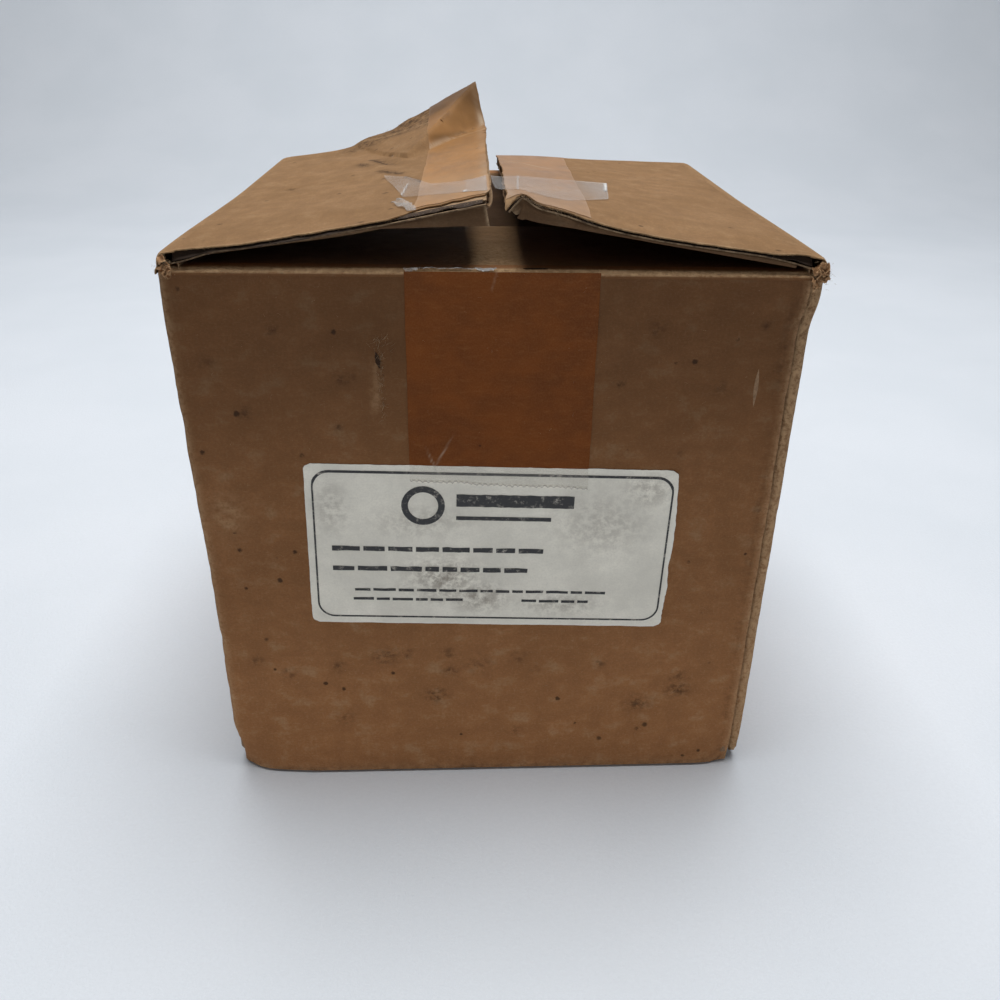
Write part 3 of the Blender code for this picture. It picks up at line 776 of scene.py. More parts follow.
# ---------------------------------------------------------------- bottom
def make_bottom():
    """Outer pair meets on the middle line under the carton; inner pair lies on it."""
    inset = SIDE - BOARD - 0.3
    rows = (
        ("bottom_front_flap", flat((0, -SIDE, 0), (1, 0, 0), (0, 1, 0), (0, 0, 1)), SIDE - 0.2),
        ("bottom_back_flap", flat((0, SIDE, 0), (-1, 0, 0), (0, -1, 0), (0, 0, 1)), SIDE - 0.2),
        ("bottom_left_flap", flat((-inset, 0, WALL_FOOT), (0, -1, 0), (1, 0, 0), (0, 0, 1)), MINOR_HALF),
        ("bottom_right_flap", flat((inset, 0, WALL_FOOT), (0, 1, 0), (-1, 0, 0), (0, 0, 1)), MINOR_HALF),
    )
    for number, (name, place, half) in enumerate(rows):
        outside = half > MINOR_HALF
        start = -BOARD + 1.4
        core = 2.4 if outside else 0.2
        length = FLAP_LENGTH if outside else MINOR_HALF
        s_values = stations(-half, half, 2.5)
        seed = 60 + number
        if outside:
            start = 0.7 - (foot_swell(s_values) if name == "bottom_front_flap" else 0.0)
        end = length - 0.6 * torn(s_values, seed)
        s, t = grid(s_values, start, end, 34)
        s = s * (1.0 - 0.11 * bump(t, start, 7.0))
        edge = 0.6 * bump(np.abs(s), half, 1.4) + 0.6 * bump(t, length, 1.4)
        shallow = np.abs(waviness(s, t, seed, 0.12)) * smooth(t, 4.0, 20.0)
        stain = 0.35 * torn(s * 0.7 + t * 0.4, seed, 14.0, 3.0) ** 2
        lay(f"{name}_outer_skin", place, s, t, 0.12 + shallow, 0.12 + shallow + LINER, WALL_KRAFT,
            "carton_shell", (f"{name}_outer_liner",), edge, stain, (0.4 * number, 0.2))
        s, t = grid(s_values, core, end, 34)
        s = s * (1.0 - 0.11 * bump(t, core, 7.0))
        lay(f"{name}_inner_skin", place, s, t, BOARD - LINER - 0.02, BOARD - 0.02, INNER_KRAFT,
            "carton_shell", (f"{name}_inner_liner",), edge, stain * 0.6, (0.3 * number, 0.6))
        fine = finer(s_values)
        s, t = grid(fine, core, length - 0.4 - 0.6 * torn(fine, seed), 14)
        s = s * (1.0 - 0.11 * bump(t, core, 7.0))
        flutes(f"{name}_flutes", place, s, t, "carton_shell", f"{name}_flute_medium")


# ---------------------------------------------------------------- left flap
def left_lift(s, t):
    """(s, t) drawn in by the fold, and height over the flap's plane."""
    s = np.asarray(s, float)
    t = np.asarray(t, float)
    fold_s, fold_t = FOLD_VERTEX
    u_s = s - fold_s
    u_t = t - fold_t
    along_s = SIDE - SLIGHT_CREASE_S
    along_t = CREASE_REAR_T - FLAP_LENGTH
    over = ((s - SLIGHT_CREASE_S) * -along_t + (t - FLAP_LENGTH) * along_s) > 0
    far = 1e9
    reach_rear = np.where(u_s > 1e-6, (SIDE - fold_s) / np.where(u_s > 1e-6, u_s, 1.0), far)
    reach_seam = np.where(u_t > 1e-6, (FLAP_LENGTH - fold_t) / np.where(u_t > 1e-6, u_t, 1.0), far)
    reach = np.minimum(reach_rear, reach_seam)
    reach = np.where(over, reach, 1.0)
    edge_s = fold_s + reach * u_s
    edge_t = fold_t + reach * u_t
    rear = APEX_LIFT * np.clip((edge_t - CREASE_REAR_T) / (FLAP_LENGTH - CREASE_REAR_T), 0, 1)
    low = SECOND_CREASE_LIFT * np.clip((edge_s - SLIGHT_CREASE_S) / (SECOND_CREASE_S - SLIGHT_CREASE_S), 0, 1)
    high = APEX_LIFT - SECOND_CREASE_LIFT
    steep = SECOND_CREASE_LIFT + high * (edge_s - SECOND_CREASE_S) / (SIDE - SECOND_CREASE_S)
    seam = np.where(edge_s < SECOND_CREASE_S, low, steep)
    lift = np.where(reach_rear < reach_seam, rear, seam) / reach
    lift = np.where(over, np.maximum(lift, 0.0), 0.0)
    radius = np.maximum(np.hypot(u_s, u_t), 1.0)
    shrink = np.clip(1.0 - lift**2 / (2.0 * radius**2), 0.5, 1.0)
    return fold_s + u_s * shrink, fold_t + u_t * shrink, lift


def left_surface(s, t):
    drawn_s, drawn_t, lift = left_lift(s, t)
    along = t / FLAP_LENGTH
    lift = lift + CURL * (along**2 - 0.35 * np.sin(math.pi * along)) * smooth(t, 2.0, 12.0)
    lift = lift + waviness(s, t, 71, 0.35, (60.0, 37.0, 23.0)) * smooth(t, 6.0, 20.0)
    lift = lift - 0.7 * bump(s, -2.0, 3.5) * bump(t, 18.0, 3.5)
    lift = lift + 1.5 * bump(t, 33.0, 8.0) * smooth(s, 52.0, SIDE)
    rough_rear = torn(t, 75, 5.0, 1.6) - 0.5
    lift = lift + 0.8 * rough_rear * smooth(s, SIDE - 7.0, SIDE) * smooth(t, 28.0, 36.0)
    crumple = 0.4 * np.sin(2 * math.pi * (s * 0.35 + t * 0.9) / 8.5)
    lift = lift + crumple * bump(s, FOLD_VERTEX[0] + 6, 14.0) * bump(t, FOLD_VERTEX[1] - 3, 12.0)
    x = -SIDE + drawn_t * math.cos(LEFT_REST) - lift * math.sin(LEFT_REST)
    x = x - LEAN * smooth(-s, -10.0, SIDE - 4.0) * (1.0 - smooth(t, 0.0, 50.0))
    z = TOP + drawn_t * math.sin(LEFT_REST) + lift * math.cos(LEFT_REST)
    return np.stack((x, drawn_s, z), -1)


LEFT = bent(left_surface, (0, 0, -1))
BAND_SPAN = BAND_HALF / 0.611


def crease_t(s):
    return CREASE_REAR_T + (SIDE - s) * (FLAP_LENGTH - CREASE_REAR_T) / (SIDE - CREASE_SEAM_S)


BAND_START_S = (SIDE - (FLAP_LENGTH + BAND_SPAN - CREASE_REAR_T) * (SIDE - CREASE_SEAM_S)
                / (FLAP_LENGTH - CREASE_REAR_T))
CORNER_START_S = BAND_START_S + 2 * BAND_SPAN * (SIDE - CREASE_SEAM_S) / (FLAP_LENGTH - CREASE_REAR_T)


def left_squeeze(s, t):
    """Share of the board's thickness left: crushed along the front edge."""
    return 1.0 - 0.58 * smooth(-s, SIDE - 8.0, SIDE - 0.5) * smooth(t, 4.0, 16.0)


def left_seam_end(s):
    """Where the outer liner ends at the seam: worn back at the front corner."""
    worn = 1.4 * bump(s, -SIDE, 6.0) + 0.5 * torn(s, 81, 6.0) - bump(s, 46.0, 22.0)
    return FLAP_LENGTH - worn


def left_low_end(s):
    """Where the inner liner ends at the seam."""
    return FLAP_LENGTH - 1.5 * bump(s, -SIDE, 9.0) - 0.3 * torn(s, 89)


def front_tear(s, t, seed, base, extra, centre=58.0, width=16.0):
    """How far a ply is torn back from the front edge."""
    back = base * torn(t, seed, 4.0, 0.9) + extra * bump(t, centre, width) * torn(t, seed + 1, 6.0, 1.4)
    return back * np.clip(1.0 - (s + SIDE) / 9.0, 0.0, 1.0)


def left_ply_tear(s, t):
    """How far the left flap's outer liner is torn off near the seam's front end."""
    depth = np.interp(t, (0.0, 54.0, 58.0, 62.0, 67.0, 70.0, 74.0, 77.0, 79.0),
                      (0, 0, 2.2, 5.5, 4.0, 6.0, 7.6, 7.4, 6.6))
    depth = depth * (0.85 + 0.35 * torn(t, 92, 2.6, 0.7))
    return depth * np.clip(1.0 - (s + SIDE) / 24.0, 0.0, 1.0)


def rear_tear(s, t, seed, base):
    return base * torn(t, seed, 5.0, 1.0) * np.clip(1.0 - (SIDE - s) / 7.0, 0.0, 1.0)


def left_paint(s, t):
    """Wear and dirt on the left flap's outer face."""
    wear = 0.75 * bump(s, -SIDE, 1.5) + 0.45 * bump(s, SIDE, 1.6) + 0.5 * bump(t, FLAP_LENGTH, 1.3)
    wear = wear * (0.4 + 0.9 * torn(s * 0.6 + t, 83, 5.0, 1.2))
    crease = bump((s - 79.2) * 0.793 + (t - CREASE_REAR_T) * 0.611, 0.0, 0.9)
    wear = wear + 0.35 * crease * smooth(s, 18.0, 40.0)
    dirt = (0.95 * smooth(s, 58.0, 68.0) * smooth(t, 20.0, 34.0)
            * (0.25 + 0.9 * torn(t + 0.4 * s, 85, 6.0, 1.5)))
    creases = (((35.7, 39.9), (18.0, 46.4), 1.9), ((4.5, 45.0), (-8.0, 52.2), 1.5),
               ((-16.0, 54.5), (-40.0, 62.8), 0.7),
               ((30.0, 36.0), (22.0, 39.0), 1.4))
    for (start_s, start_t), (end_s, end_t), width in creases:
        run_s, run_t = end_s - start_s, end_t - start_t
        share = ((s - start_s) * run_s + (t - start_t) * run_t) / (run_s**2 + run_t**2)
        away = np.hypot(s - start_s - np.clip(share, 0, 1) * run_s, t - start_t
                        - np.clip(share, 0, 1) * run_t)
        dirt = np.maximum(dirt, bump(away, 0.0, width))
    grimy = (0.8 * smooth(s, 14.0, 30.0) * smooth(t - crease_t(s), -9.0, -1.0)
             * (0.4 + torn(s * 0.9 + t * 0.6, 87, 6.0, 1.6)))
    dirt = np.maximum(dirt, grimy)
    dirt = np.maximum(dirt, 0.9 * bump(s, -0.5, 1.6) * bump(t, 17.7, 1.2))
    return np.clip(wear, 0, 1), np.clip(dirt, 0, 1)


def left_ply(part, depth_top, depth_low, material, s, t, body, node, seed):
    """One ply of one piece of the left flap at given depths (fractions of a crushed board follow squeeze)."""
    wear, dirt = left_paint(s, t)
    squeeze = left_squeeze(s, t)
    if part == "inner":
        depth_top = BOARD * squeeze - LINER
        depth_low = BOARD * squeeze
        wear = 0.7 * bump(np.abs(s), SIDE - 0.7, 0.45) + 0.5 * bump(t, FLAP_LENGTH, 1.0)
        # Painted shade darkens the inner liner along the front edge, under the flap; the rest is a fifth of
        # the face's dirt.
        dirt = np.maximum(dirt * 0.2, bump(s, -SIDE, 4.5))
    name = node.replace("liner", "skin").replace("top_", "")
    return lay(name, LEFT, s, t, depth_top, depth_low, material, body, (node,) if node else (),
               wear, dirt, (seed, 0.35))


def make_left_flap():
    s_values = np.concatenate((stations(-SIDE, -SIDE + 9, 0.6), stations(-SIDE + 9, SIDE, 1.0)[1:]))
    top_end = np.minimum(left_seam_end(s_values), crease_t(s_values) - BAND_SPAN)
    low_end = np.minimum(left_low_end(s_values), crease_t(s_values) - BAND_SPAN)
    for part, ends, seed in (("outer", top_end, 91), ("inner", low_end, 95)):
        s, t = grid(s_values, PLATE_START, ends, 90)
        torn_back = front_tear(s, t, seed, 1.5 if part == "outer" else 0.5, 0.0)
        if part == "outer":
            torn_back = torn_back + left_ply_tear(s, t)
        s = s + torn_back - rear_tear(s, t, seed + 2, 0.8)
        left_ply(part, 0.0, LINER, FLAP_KRAFT if part == "outer" else INNER_KRAFT,
                 s, t, "left_flap", f"top_left_flap_{part}_liner", 0.1 * seed)
    fine = finer(s_values)
    s, t = grid(fine, PLATE_START, np.minimum(left_low_end(fine) - 0.7, crease_t(fine) - BAND_SPAN), 40)
    s = s + front_tear(s, t, 99, 0.9, 2.6, 66.0, 14.0)
    # The last argument is painted shade on the flutes along the front edge.
    flutes("left_flap_flutes", LEFT, s, t, "left_flap", "top_left_flap_flute_medium", left_squeeze(s, t),
           0.95 * bump(s, -SIDE, 9.0))


def make_left_bare_strip():
    """Flattened middle ply left bare where the outer liner is torn off."""
    s_values = stations(-SIDE + 2.7, -SIDE + 13.0, 0.5)
    s, t = grid(s_values, 55.0, FLAP_LENGTH - 1.4, 60)
    s = s + 1.6 * torn(t, 94, 3.0, 0.8) * np.clip(1.0 - (s + SIDE) / 8.0, 0.0, 1.0)
    uneven = 0.25 * torn(s * 1.4 + t * 0.5, 96, 2.2, 0.7)
    wear = 0.15 + 0.6 * torn(s + 0.3 * t, 98, 3.0, 0.8)
    lay("left_flap_bare_strip", LEFT, s, t, 0.34 + uneven, 0.55 + uneven, INNER_KRAFT, "left_flap",
        (), wear, 0.15, (0.9, 0.1))


def make_left_corner():
    """Raised rear corner and the bent band that joins it to the flap."""
    corner_s = stations(CORNER_START_S + 0.4, SIDE, 1.1)
    band_s = np.concatenate((stations(BAND_START_S + 0.3, CORNER_START_S, 1.0), corner_s))
    for piece, s_values, body in (("corner", corner_s, "left_flap_corner"), ("band", band_s, None)):
        for part, seed in (("outer", 101), ("inner", 105)):
            end_t = left_seam_end(s_values) if part == "outer" else left_low_end(s_values)
            low = crease_t(s_values) + (BAND_SPAN if piece == "corner" else -BAND_SPAN)
            high = end_t if piece == "corner" else np.minimum(end_t, crease_t(s_values) + BAND_SPAN)
            s, t = grid(s_values, np.minimum(low, high - 0.05), high, 34 if piece == "corner" else 12)
            s = s - rear_tear(s, t, seed, 1.8)
            node = f"left_flap_corner_{part}_liner" if piece == "corner" else None
            material = FLAP_KRAFT if part == "outer" else INNER_KRAFT
            depth = 0.0 if part == "outer" else BOARD - LINER
            wear, dirt = left_paint(s, t)
            if part == "inner":
                dirt = dirt * 0.2
            made = lay(f"left_flap_{piece}_{part}_skin", LEFT, s, t, depth, depth + LINER, material, body,
                       (node,) if node else (), wear, dirt,
                       (9.1 if part == "outer" else 9.5, 0.35))
            if piece == "band":
                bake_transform(made)
        fine = finer(s_values)
        low = crease_t(fine) + (BAND_SPAN if piece == "corner" else -BAND_SPAN)
        high = left_low_end(fine) - 0.7
        if piece == "band":
            high = np.minimum(high, crease_t(fine) + BAND_SPAN)
        s, t = grid(fine, np.minimum(low, high - 0.05), high, 22 if piece == "corner" else 8)
        node = "left_flap_corner_flute_medium" if piece == "corner" else None
        made = flutes(f"left_flap_{piece}_flutes", LEFT, s, t, body, node)
        if piece == "band":
            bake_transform(made)


# ---------------------------------------------------------------- right flap
def right_surface(s, t):
    """Ruled twist from front to rear, with the torn front corner arched up and its end turned down."""
    s = np.asarray(s, float)
    t = np.asarray(t, float)
    share = (s + SIDE) / (2 * SIDE)
    angle = RIGHT_FRONT + (RIGHT_REAR - RIGHT_FRONT) * share
    front = bump(s, -SIDE, ARCH_DEPTH)
    lift = (ARCH_LIFT * bump(t, ARCH_T, ARCH_WIDTH) + 0.45 * bump(t, 65.5, 6.0)) * front
    lift = lift - SEAM_DROP * smooth(t, FLAP_LENGTH - 3.9, FLAP_LENGTH + 1.0) * bump(s, -SIDE, 4.0)
    sag = FRONT_SAG * np.sin(math.pi * np.clip(t / FLAP_LENGTH, 0, 1))
    lift = lift - sag * bump(s, -SIDE, 15.0) * smooth(t, 4.0, 14.0)
    lift = lift + waviness(s, t, 73, 0.30, (70.0, 41.0, 24.0)) * smooth(t, 6.0, 20.0)
    x = SIDE - t * np.cos(angle) + lift * np.sin(angle)
    x = x + FLARE * smooth(-s, -10.0, SIDE - 4.0) * (1.0 - smooth(t, 0.0, 40.0))
    z = TOP + t * np.sin(angle) + lift * np.cos(angle)
    return np.stack((x, s, z), -1)


RIGHT = bent(right_surface, (0, 0, -1))


def right_squeeze(s, t):
    return 1.0 - 0.64 * smooth(-s, SIDE - 8.0, SIDE - 0.5) * smooth(t, 4.0, 16.0)


def right_seam_end(s):
    worn = 0.2 + 2.7 * np.clip((s + SIDE) / 100.0, 0.0, 1.0) + 0.7 * torn(s, 111, 5.0)
    return FLAP_LENGTH - worn


def right_paint(s, t):
    wear = 0.75 * bump(s, -SIDE, 1.5) + 0.4 * bump(s, SIDE, 1.6) + 0.5 * bump(t, FLAP_LENGTH - 1, 1.5)
    wear = wear * (0.4 + 0.9 * torn(s * 0.6 + t, 113, 5.0, 1.2))
    dirt = 0.45 * bump(s, SIDE, 2.4) * torn(t, 115, 6.0, 1.5)
    dirt = dirt + 0.9 * bump(s, -SIDE, 2.4) * torn(t, 117, 5.0, 1.3)
    dirt = dirt + 0.9 * bump(s, -SIDE, 3.0) * bump(t, 69.0, 8.0)
    dirt = np.maximum(dirt, 0.35 * smooth(12.0 - t, 0, 10.0) * torn(s, 119, 9.0, 2.0))
    return np.clip(wear, 0, 1), np.clip(dirt, 0, 1)


def make_right_flap():
    s_values = np.concatenate((stations(-SIDE, -SIDE + 9, 0.6), stations(-SIDE + 9, SIDE, 1.5)[1:]))
    for part, seed in (("outer", 121), ("inner", 125)):
        end = right_seam_end(s_values) if part == "outer" else right_seam_end(s_values) - 0.2
        s, t = grid(s_values, PLATE_START, end, 70)
        s = s + front_tear(s, t, seed, 1.3 if part == "outer" else 0.6, 1.6 if part == "outer" else 0.4,
                           70.0, 9.0)
        s = s - rear_tear(s, t, seed + 2, 0.8)
        wear, dirt = right_paint(s, t)
        squeeze = right_squeeze(s, t)
        top = 0.0 * s if part == "outer" else BOARD * squeeze - LINER
        if part == "inner":
            wear = 0.7 * bump(np.abs(s), SIDE - 0.7, 0.45)
            # Painted shade darkens the inner liner along the front edge, under the flap; the rest is a
            # quarter of the face's dirt.
            dirt = np.maximum(dirt * 0.25, bump(s, -SIDE, 4.5))
        lay(f"right_flap_{part}_skin", RIGHT, s, t, top, top + LINER,
            FLAP_KRAFT if part == "outer" else INNER_KRAFT,
            "right_flap", (f"top_right_flap_{part}_liner",), wear, dirt, (0.2 * seed, 0.15))
    fine = finer(s_values)
    s, t = grid(fine, PLATE_START, right_seam_end(fine) - 0.4, 44)
    s = s + front_tear(s, t, 129, 1.6, 2.0, 62.0, 20.0)
    # The last argument is painted shade on the flutes along the front edge.
    flutes("right_flap_flutes", RIGHT, s, t, "right_flap", "top_right_flap_flute_medium", right_squeeze(s, t),
           0.95 * bump(s, -SIDE, 9.0))


# ---------------------------------------------------------------- hanging edge of the inner liner
def make_lip(name, place, squeeze, t_low, t_high, level, body, seed):
    """Inner liner turned down along the front edge, as far as the height level(x)."""
    t_values = np.linspace(t_low, t_high, 110)
    front = np.full_like(t_values, -SIDE + 0.9)
    start = BOARD * squeeze(front, t_values) - 0.3
    edge = place(front, t_values, start)
    hang = np.maximum(edge[:, 2] - level(edge[:, 0]), 0.12) * (0.97 + 0.06 * torn(t_values, seed))
    share = np.linspace(0.0, 1.0, 12)[:, None]
    s = front[None, :] - 0.5 * np.sin(share * math.pi)
    t = np.broadcast_to(t_values[None, :], s.shape)
    depth = start[None, :] + share * hang[None, :]
    uv = np.stack((t / UV_UNIT, depth / UV_UNIT), -1)
    wear = 0.8 * bump(share * np.ones_like(t), 0.0, 0.05) + 0.8 * bump(t, t_high, 0.5)
    # The hanging liner gets painted shade (0.66 in the third attribute), as it hangs in shade under the
    # flap's front edge.
    made = sheet(name, place(s, t, depth), place(s + LINER, t, depth), uv, INNER_KRAFT, np.clip(wear, 0, 1),
                 0.15, 0.66)
    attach(made, body)


def make_lips():
    make_lip("left_flap_hanging_liner", LEFT, left_squeeze, 40.0, FLAP_LENGTH - 1.7,
             lambda x: 167.1 + 0.035 * x, "left_flap", 131)
    make_lip("right_flap_hanging_liner", RIGHT, right_squeeze, 8.0, FLAP_LENGTH - 1.2,
             lambda x: 169.6 - 0.163 * x, "right_flap", 133)


# ---------------------------------------------------------------- inner top flaps
def minor_axes(name):
    sign = -1 if name == "front" else 1
    droop = FRONT_DROOP if name == "front" else BACK_DROOP
    origin = (0, sign * (SIDE - BOARD - 0.3), MINOR_TOP)
    t_axis = (0, -sign * math.cos(droop), -math.sin(droop))
    n_axis = (0, sign * math.sin(droop) * -1, -math.cos(droop))
    hinge = np.array([0, MINOR_HINGE[1] * -sign, MINOR_HINGE[2]])
    base = np.array(origin, float)
    arm = base - hinge
    turned = np.array([
        arm[0],
        arm[1] * math.cos(droop) - sign * arm[2] * math.sin(droop) * -1,
        arm[2] * math.cos(droop) - abs(arm[1]) * 0,
    ])
    return flat(hinge + turned, (-sign, 0, 0), t_axis, n_axis)


def make_minor_flaps():
    for number, name in enumerate(("front", "back")):
        place = minor_axes(name)
        body = f"{name}_flap"
        seed = 141 + number
        s_values = stations(-MINOR_HALF, MINOR_HALF, 2.4)
        end = MINOR_HALF - 0.8 * torn(s_values, seed)
        for part, start in (("outer", 3.0), ("inner", 1.2)):
            s, t = grid(s_values, start, end, 36)
            edge = 0.7 * bump(np.abs(s), MINOR_HALF, 1.4) + 0.7 * bump(t, MINOR_HALF, 1.6)
            stain = 0.4 * torn(s * 0.5 + t * 0.8, seed, 11.0, 2.5) ** 2
            top = 0.0 if part == "outer" else BOARD - LINER
            # Painted light: a pool of light through the seam gap lightens the front inner flap near its
            # hinge, on top of its rubbed edges.
            if part == "outer" and name == "front":
                edge = np.maximum(edge, bump(t, 0.0, 40.0) * bump(s, -3.0, 10.0))
            # Painted shade on the back inner flap's outer face, below the seam gap between the top flaps.
            painted_gap_shade = 0.0 * s
            if part == "outer" and name == "back":
                painted_gap_shade = (0.88 * bump(s, -2.0, 13.0) * smooth(t, 2.0, 12.0)
                        * (0.85 + 0.3 * torn(t + 0.5 * s, 149, 7.0, 2.0)))
            lay(f"{name}_inner_flap_{part}_skin", place, s, t, top, top + LINER,
                FLAP_KRAFT if part == "outer" else INNER_KRAFT,
                body, (f"top_{name}_flap_{part}_liner",), edge, stain, (0.7 * number, 0.45),
                np.clip(painted_gap_shade, 0, 1))
        fine = finer(s_values)
        s, t = grid(fine, 1.6, MINOR_HALF - 0.4 - 0.8 * torn(fine, seed), 5)
        flutes(f"{name}_inner_flap_flutes", place, s, t, body, f"top_{name}_flap_flute_medium")


# ---------------------------------------------------------------- folded creases along the top
def crease_profile(count, start_z, end_t, rest, radius):
    """(out, up) of a fold from a wall up and over onto a flap that stands at an angle: out is 0 at the
    wall's outer face and grows inwards."""
    turn = math.pi / 2 - rest
    reach = radius * math.tan(turn / 2)
    straight = max(0.1, (TOP - reach) - start_z)
    arc = radius * turn
    tail = max(0.1, end_t - reach)
    distance = np.linspace(0.0, straight + arc + tail, count)
    out = np.zeros(count)
    up = np.zeros(count)
    for k, d in enumerate(distance):
        if d <= straight:
            out[k], up[k] = 0.0, start_z + d
        elif d <= straight + arc:
            angle = (d - straight) / radius
            out[k] = radius * (1 - math.cos(angle))
            up[k] = TOP - reach + radius * math.sin(angle)
        else:
            rest_d = d - straight - arc + reach
            out[k] = rest_d * math.cos(rest)
            up[k] = TOP + rest_d * math.sin(rest)
    return out, up, distance


def rest_angle(sign, y):
    if sign < 0:
        return np.full_like(y, LEFT_REST)
    share = (y + SIDE) / (2 * SIDE)
    return RIGHT_FRONT + (RIGHT_REAR - RIGHT_FRONT) * share


def make_side_creases():
    for sign, body, surface in ((-1, "left_flap", left_surface), (1, "right_flap", right_surface)):
        y_values = stations(-SIDE + 0.2, SIDE - 0.2, 1.3)
        count = 18
        outer = np.zeros((count, y_values.size, 3))
        distance = np.zeros((count, y_values.size))
        for column, (y, rest) in enumerate(zip(y_values, rest_angle(sign, y_values))):
            out, up, along = crease_profile(count, STRIP_START - 0.4, PLATE_START + 0.6, rest, 2.4)
            outer[:, column, 0] = sign * (SIDE - out)
            outer[:, column, 1] = y
            outer[:, column, 2] = up
            distance[:, column] = along
        outer[..., 0] = outer[..., 0] + push_out(outer[..., 0], outer[..., 1], outer[..., 2])
        reach = surface(y_values, np.full_like(y_values, PLATE_START + 0.6))
        shift = reach - outer[-1]
        share = smooth(distance, distance[-1] * 0.45, distance[-1])
        outer = outer + shift[None, :, :] * share[..., None]
        y_grid = np.broadcast_to(y_values, distance.shape)
        rub = 0.35 * (torn(y_grid + 3 * distance, 151 + sign, 6.0, 1.2) - 0.5)
        turned_in = 2.6 * bump(np.abs(y_grid), SIDE, 1.6) * smooth(distance, 0, 2.0)
        proud = 0.07 * smooth(2.2 - distance, 0.0, 1.0)
        sunk = (0.25 * np.abs(rub) + 0.25 * turned_in) * smooth(distance, 0.6, 2.0)
        outer[..., 0] = outer[..., 0] - sign * (sunk - proud)
        across = np.gradient(outer, axis=1)
        upward = np.gradient(outer, axis=0)
        normal = unit(np.cross(across, upward))
        outward = np.stack((sign * np.ones_like(distance), 0 * distance, np.ones_like(distance)), -1)
        normal = normal * np.sign((normal * outward).sum(-1))[..., None]
        ridge = bump(distance, distance[-1] * 0.5, 2.2)
        wear = 0.55 * ridge * (0.3 + torn(y_grid, 153, 7.0, 1.4)) + 0.4 * bump(np.abs(y_grid), SIDE, 2.0)
        dirt = 0.3 * torn(y_grid * 0.8 + distance, 155, 8.0, 2.0) * ridge
        uv = np.stack((y_grid / UV_UNIT + 0.5 * sign, distance / UV_UNIT), -1)
        side = "left" if sign < 0 else "right"
        # Painted shade carried on from the top of the walls, fading out over the crease.
        grime = 0.6 * smooth(-distance, -2.6, 0.0)
        made = sheet(f"{side}_crease_outer_skin", outer, outer - LINER * normal, uv, FLAP_KRAFT,
                     np.clip(wear, 0, 1), np.clip(dirt, 0, 1), grime)
        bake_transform(made)
        lower = outer - (BOARD - LINER) * normal
        inside = np.stack((sign * np.minimum(np.abs(lower[..., 0]), SIDE - BOARD), lower[..., 1],
                           lower[..., 2]), -1)
        made = sheet(f"{side}_crease_inner_skin", inside, inside - LINER * normal, uv, INNER_KRAFT, 0.2, 0.1)
        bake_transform(made)


def make_end_creases():
    """Fold of the front and back walls over onto the inner flaps."""
    for sign, name in ((-1, "front"), (1, "back")):
        place = minor_axes(name)
        x_values = stations(-SIDE + 2.6, FREE_EDGE + 1.0 if sign < 0 else SIDE - 2.6, 1.1)
        count = 30
        radius = 1.9
        start_z = STRIP_START - 0.5
        top = MINOR_TOP + 0.1
        straight = top - radius - start_z
        arc = radius * math.pi / 2
        landing = place(np.array([0.0]), np.array([3.6]), np.array([-0.02]))[0]
        tail = SIDE - radius - abs(landing[1])
        distance = np.linspace(0, straight + arc + tail, count)
        out = np.zeros(count)
        up = np.zeros(count)
        for k, d in enumerate(distance):
            angle = min(max((d - straight) / radius, 0.0), math.pi / 2)
            out[k] = radius * (1 - math.cos(angle)) + max(0.0, d - straight - arc)
            up[k] = start_z + min(d, straight) + radius * math.sin(angle)
            share = max(0.0, d - straight - arc) / tail
            up[k] = up[k] + share * (landing[2] - top)
        x_grid = np.broadcast_to(x_values, (count, x_values.size))
        d_grid = np.broadcast_to(distance[:, None], x_grid.shape)
        ridge = bump(d_grid, straight + arc * 0.5, 1.7)
        crush = 0.55 * torn(x_grid, 161 + sign, 5.0, 1.0) * ridge * smooth(d_grid, 0.6, 2.0)
        proud = 0.07 * smooth(2.2 - d_grid, 0.0, 1.0)
        shifted = x_grid + push_out(x_grid, sign * SIDE + 0 * x_grid, np.full_like(x_grid, MINOR_TOP))
        outer = np.stack((shifted, sign * (SIDE + proud - out[:, None] - crush * 0.6), up[:, None]
                          - crush * 0.6), -1)
        across = np.gradient(outer, axis=1)
        upward = np.gradient(outer, axis=0)
        normal = unit(np.cross(across, upward))
        outward = np.stack((0 * d_grid, sign * np.ones_like(d_grid), np.ones_like(d_grid)), -1)
        normal = normal * np.sign((normal * outward).sum(-1))[..., None]
        ridge_line = bump(d_grid, straight + arc * 0.4, 1.6)
        fray = bump(d_grid, straight + arc * 0.3, 1.9 + 1.4 * torn(x_grid, 165, 5.0, 0.9))
        wear = 1.25 * ridge_line + 0.75 * fray * (0.4 + torn(x_grid, 163, 4.0, 0.9))
        wear = wear * smooth(d_grid, 0.3, 1.6)
        dirt = 0.35 * torn(x_grid + 2 * d_grid, 167, 8.0, 2.0) * smooth(straight - d_grid, -1, 2)
        uv = np.stack((x_grid / UV_UNIT + 0.2, d_grid / UV_UNIT), -1)
        # Painted shade carried on from the top of the walls, fading out over the crease.
        grime = 0.64 * smooth(-d_grid, -straight - 0.5 * arc, -0.2 * straight)
        made = sheet(f"{name}_crease_outer_skin", outer, outer - LINER * normal, uv, WALL_KRAFT,
                     np.clip(wear, 0, 1), np.clip(dirt, 0, 1), grime)
        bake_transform(made)


# ---------------------------------------------------------------- label
LABEL_CORNERS = 2.0
LABEL_TILT = math.radians(-1.2)
LABEL_SIZE = (101.6, 50.8)
LABEL_CENTRE = ((LABEL_LOW[0] + LABEL_HIGH[0]) / 2, (LABEL_LOW[2] + LABEL_HIGH[2]) / 2)


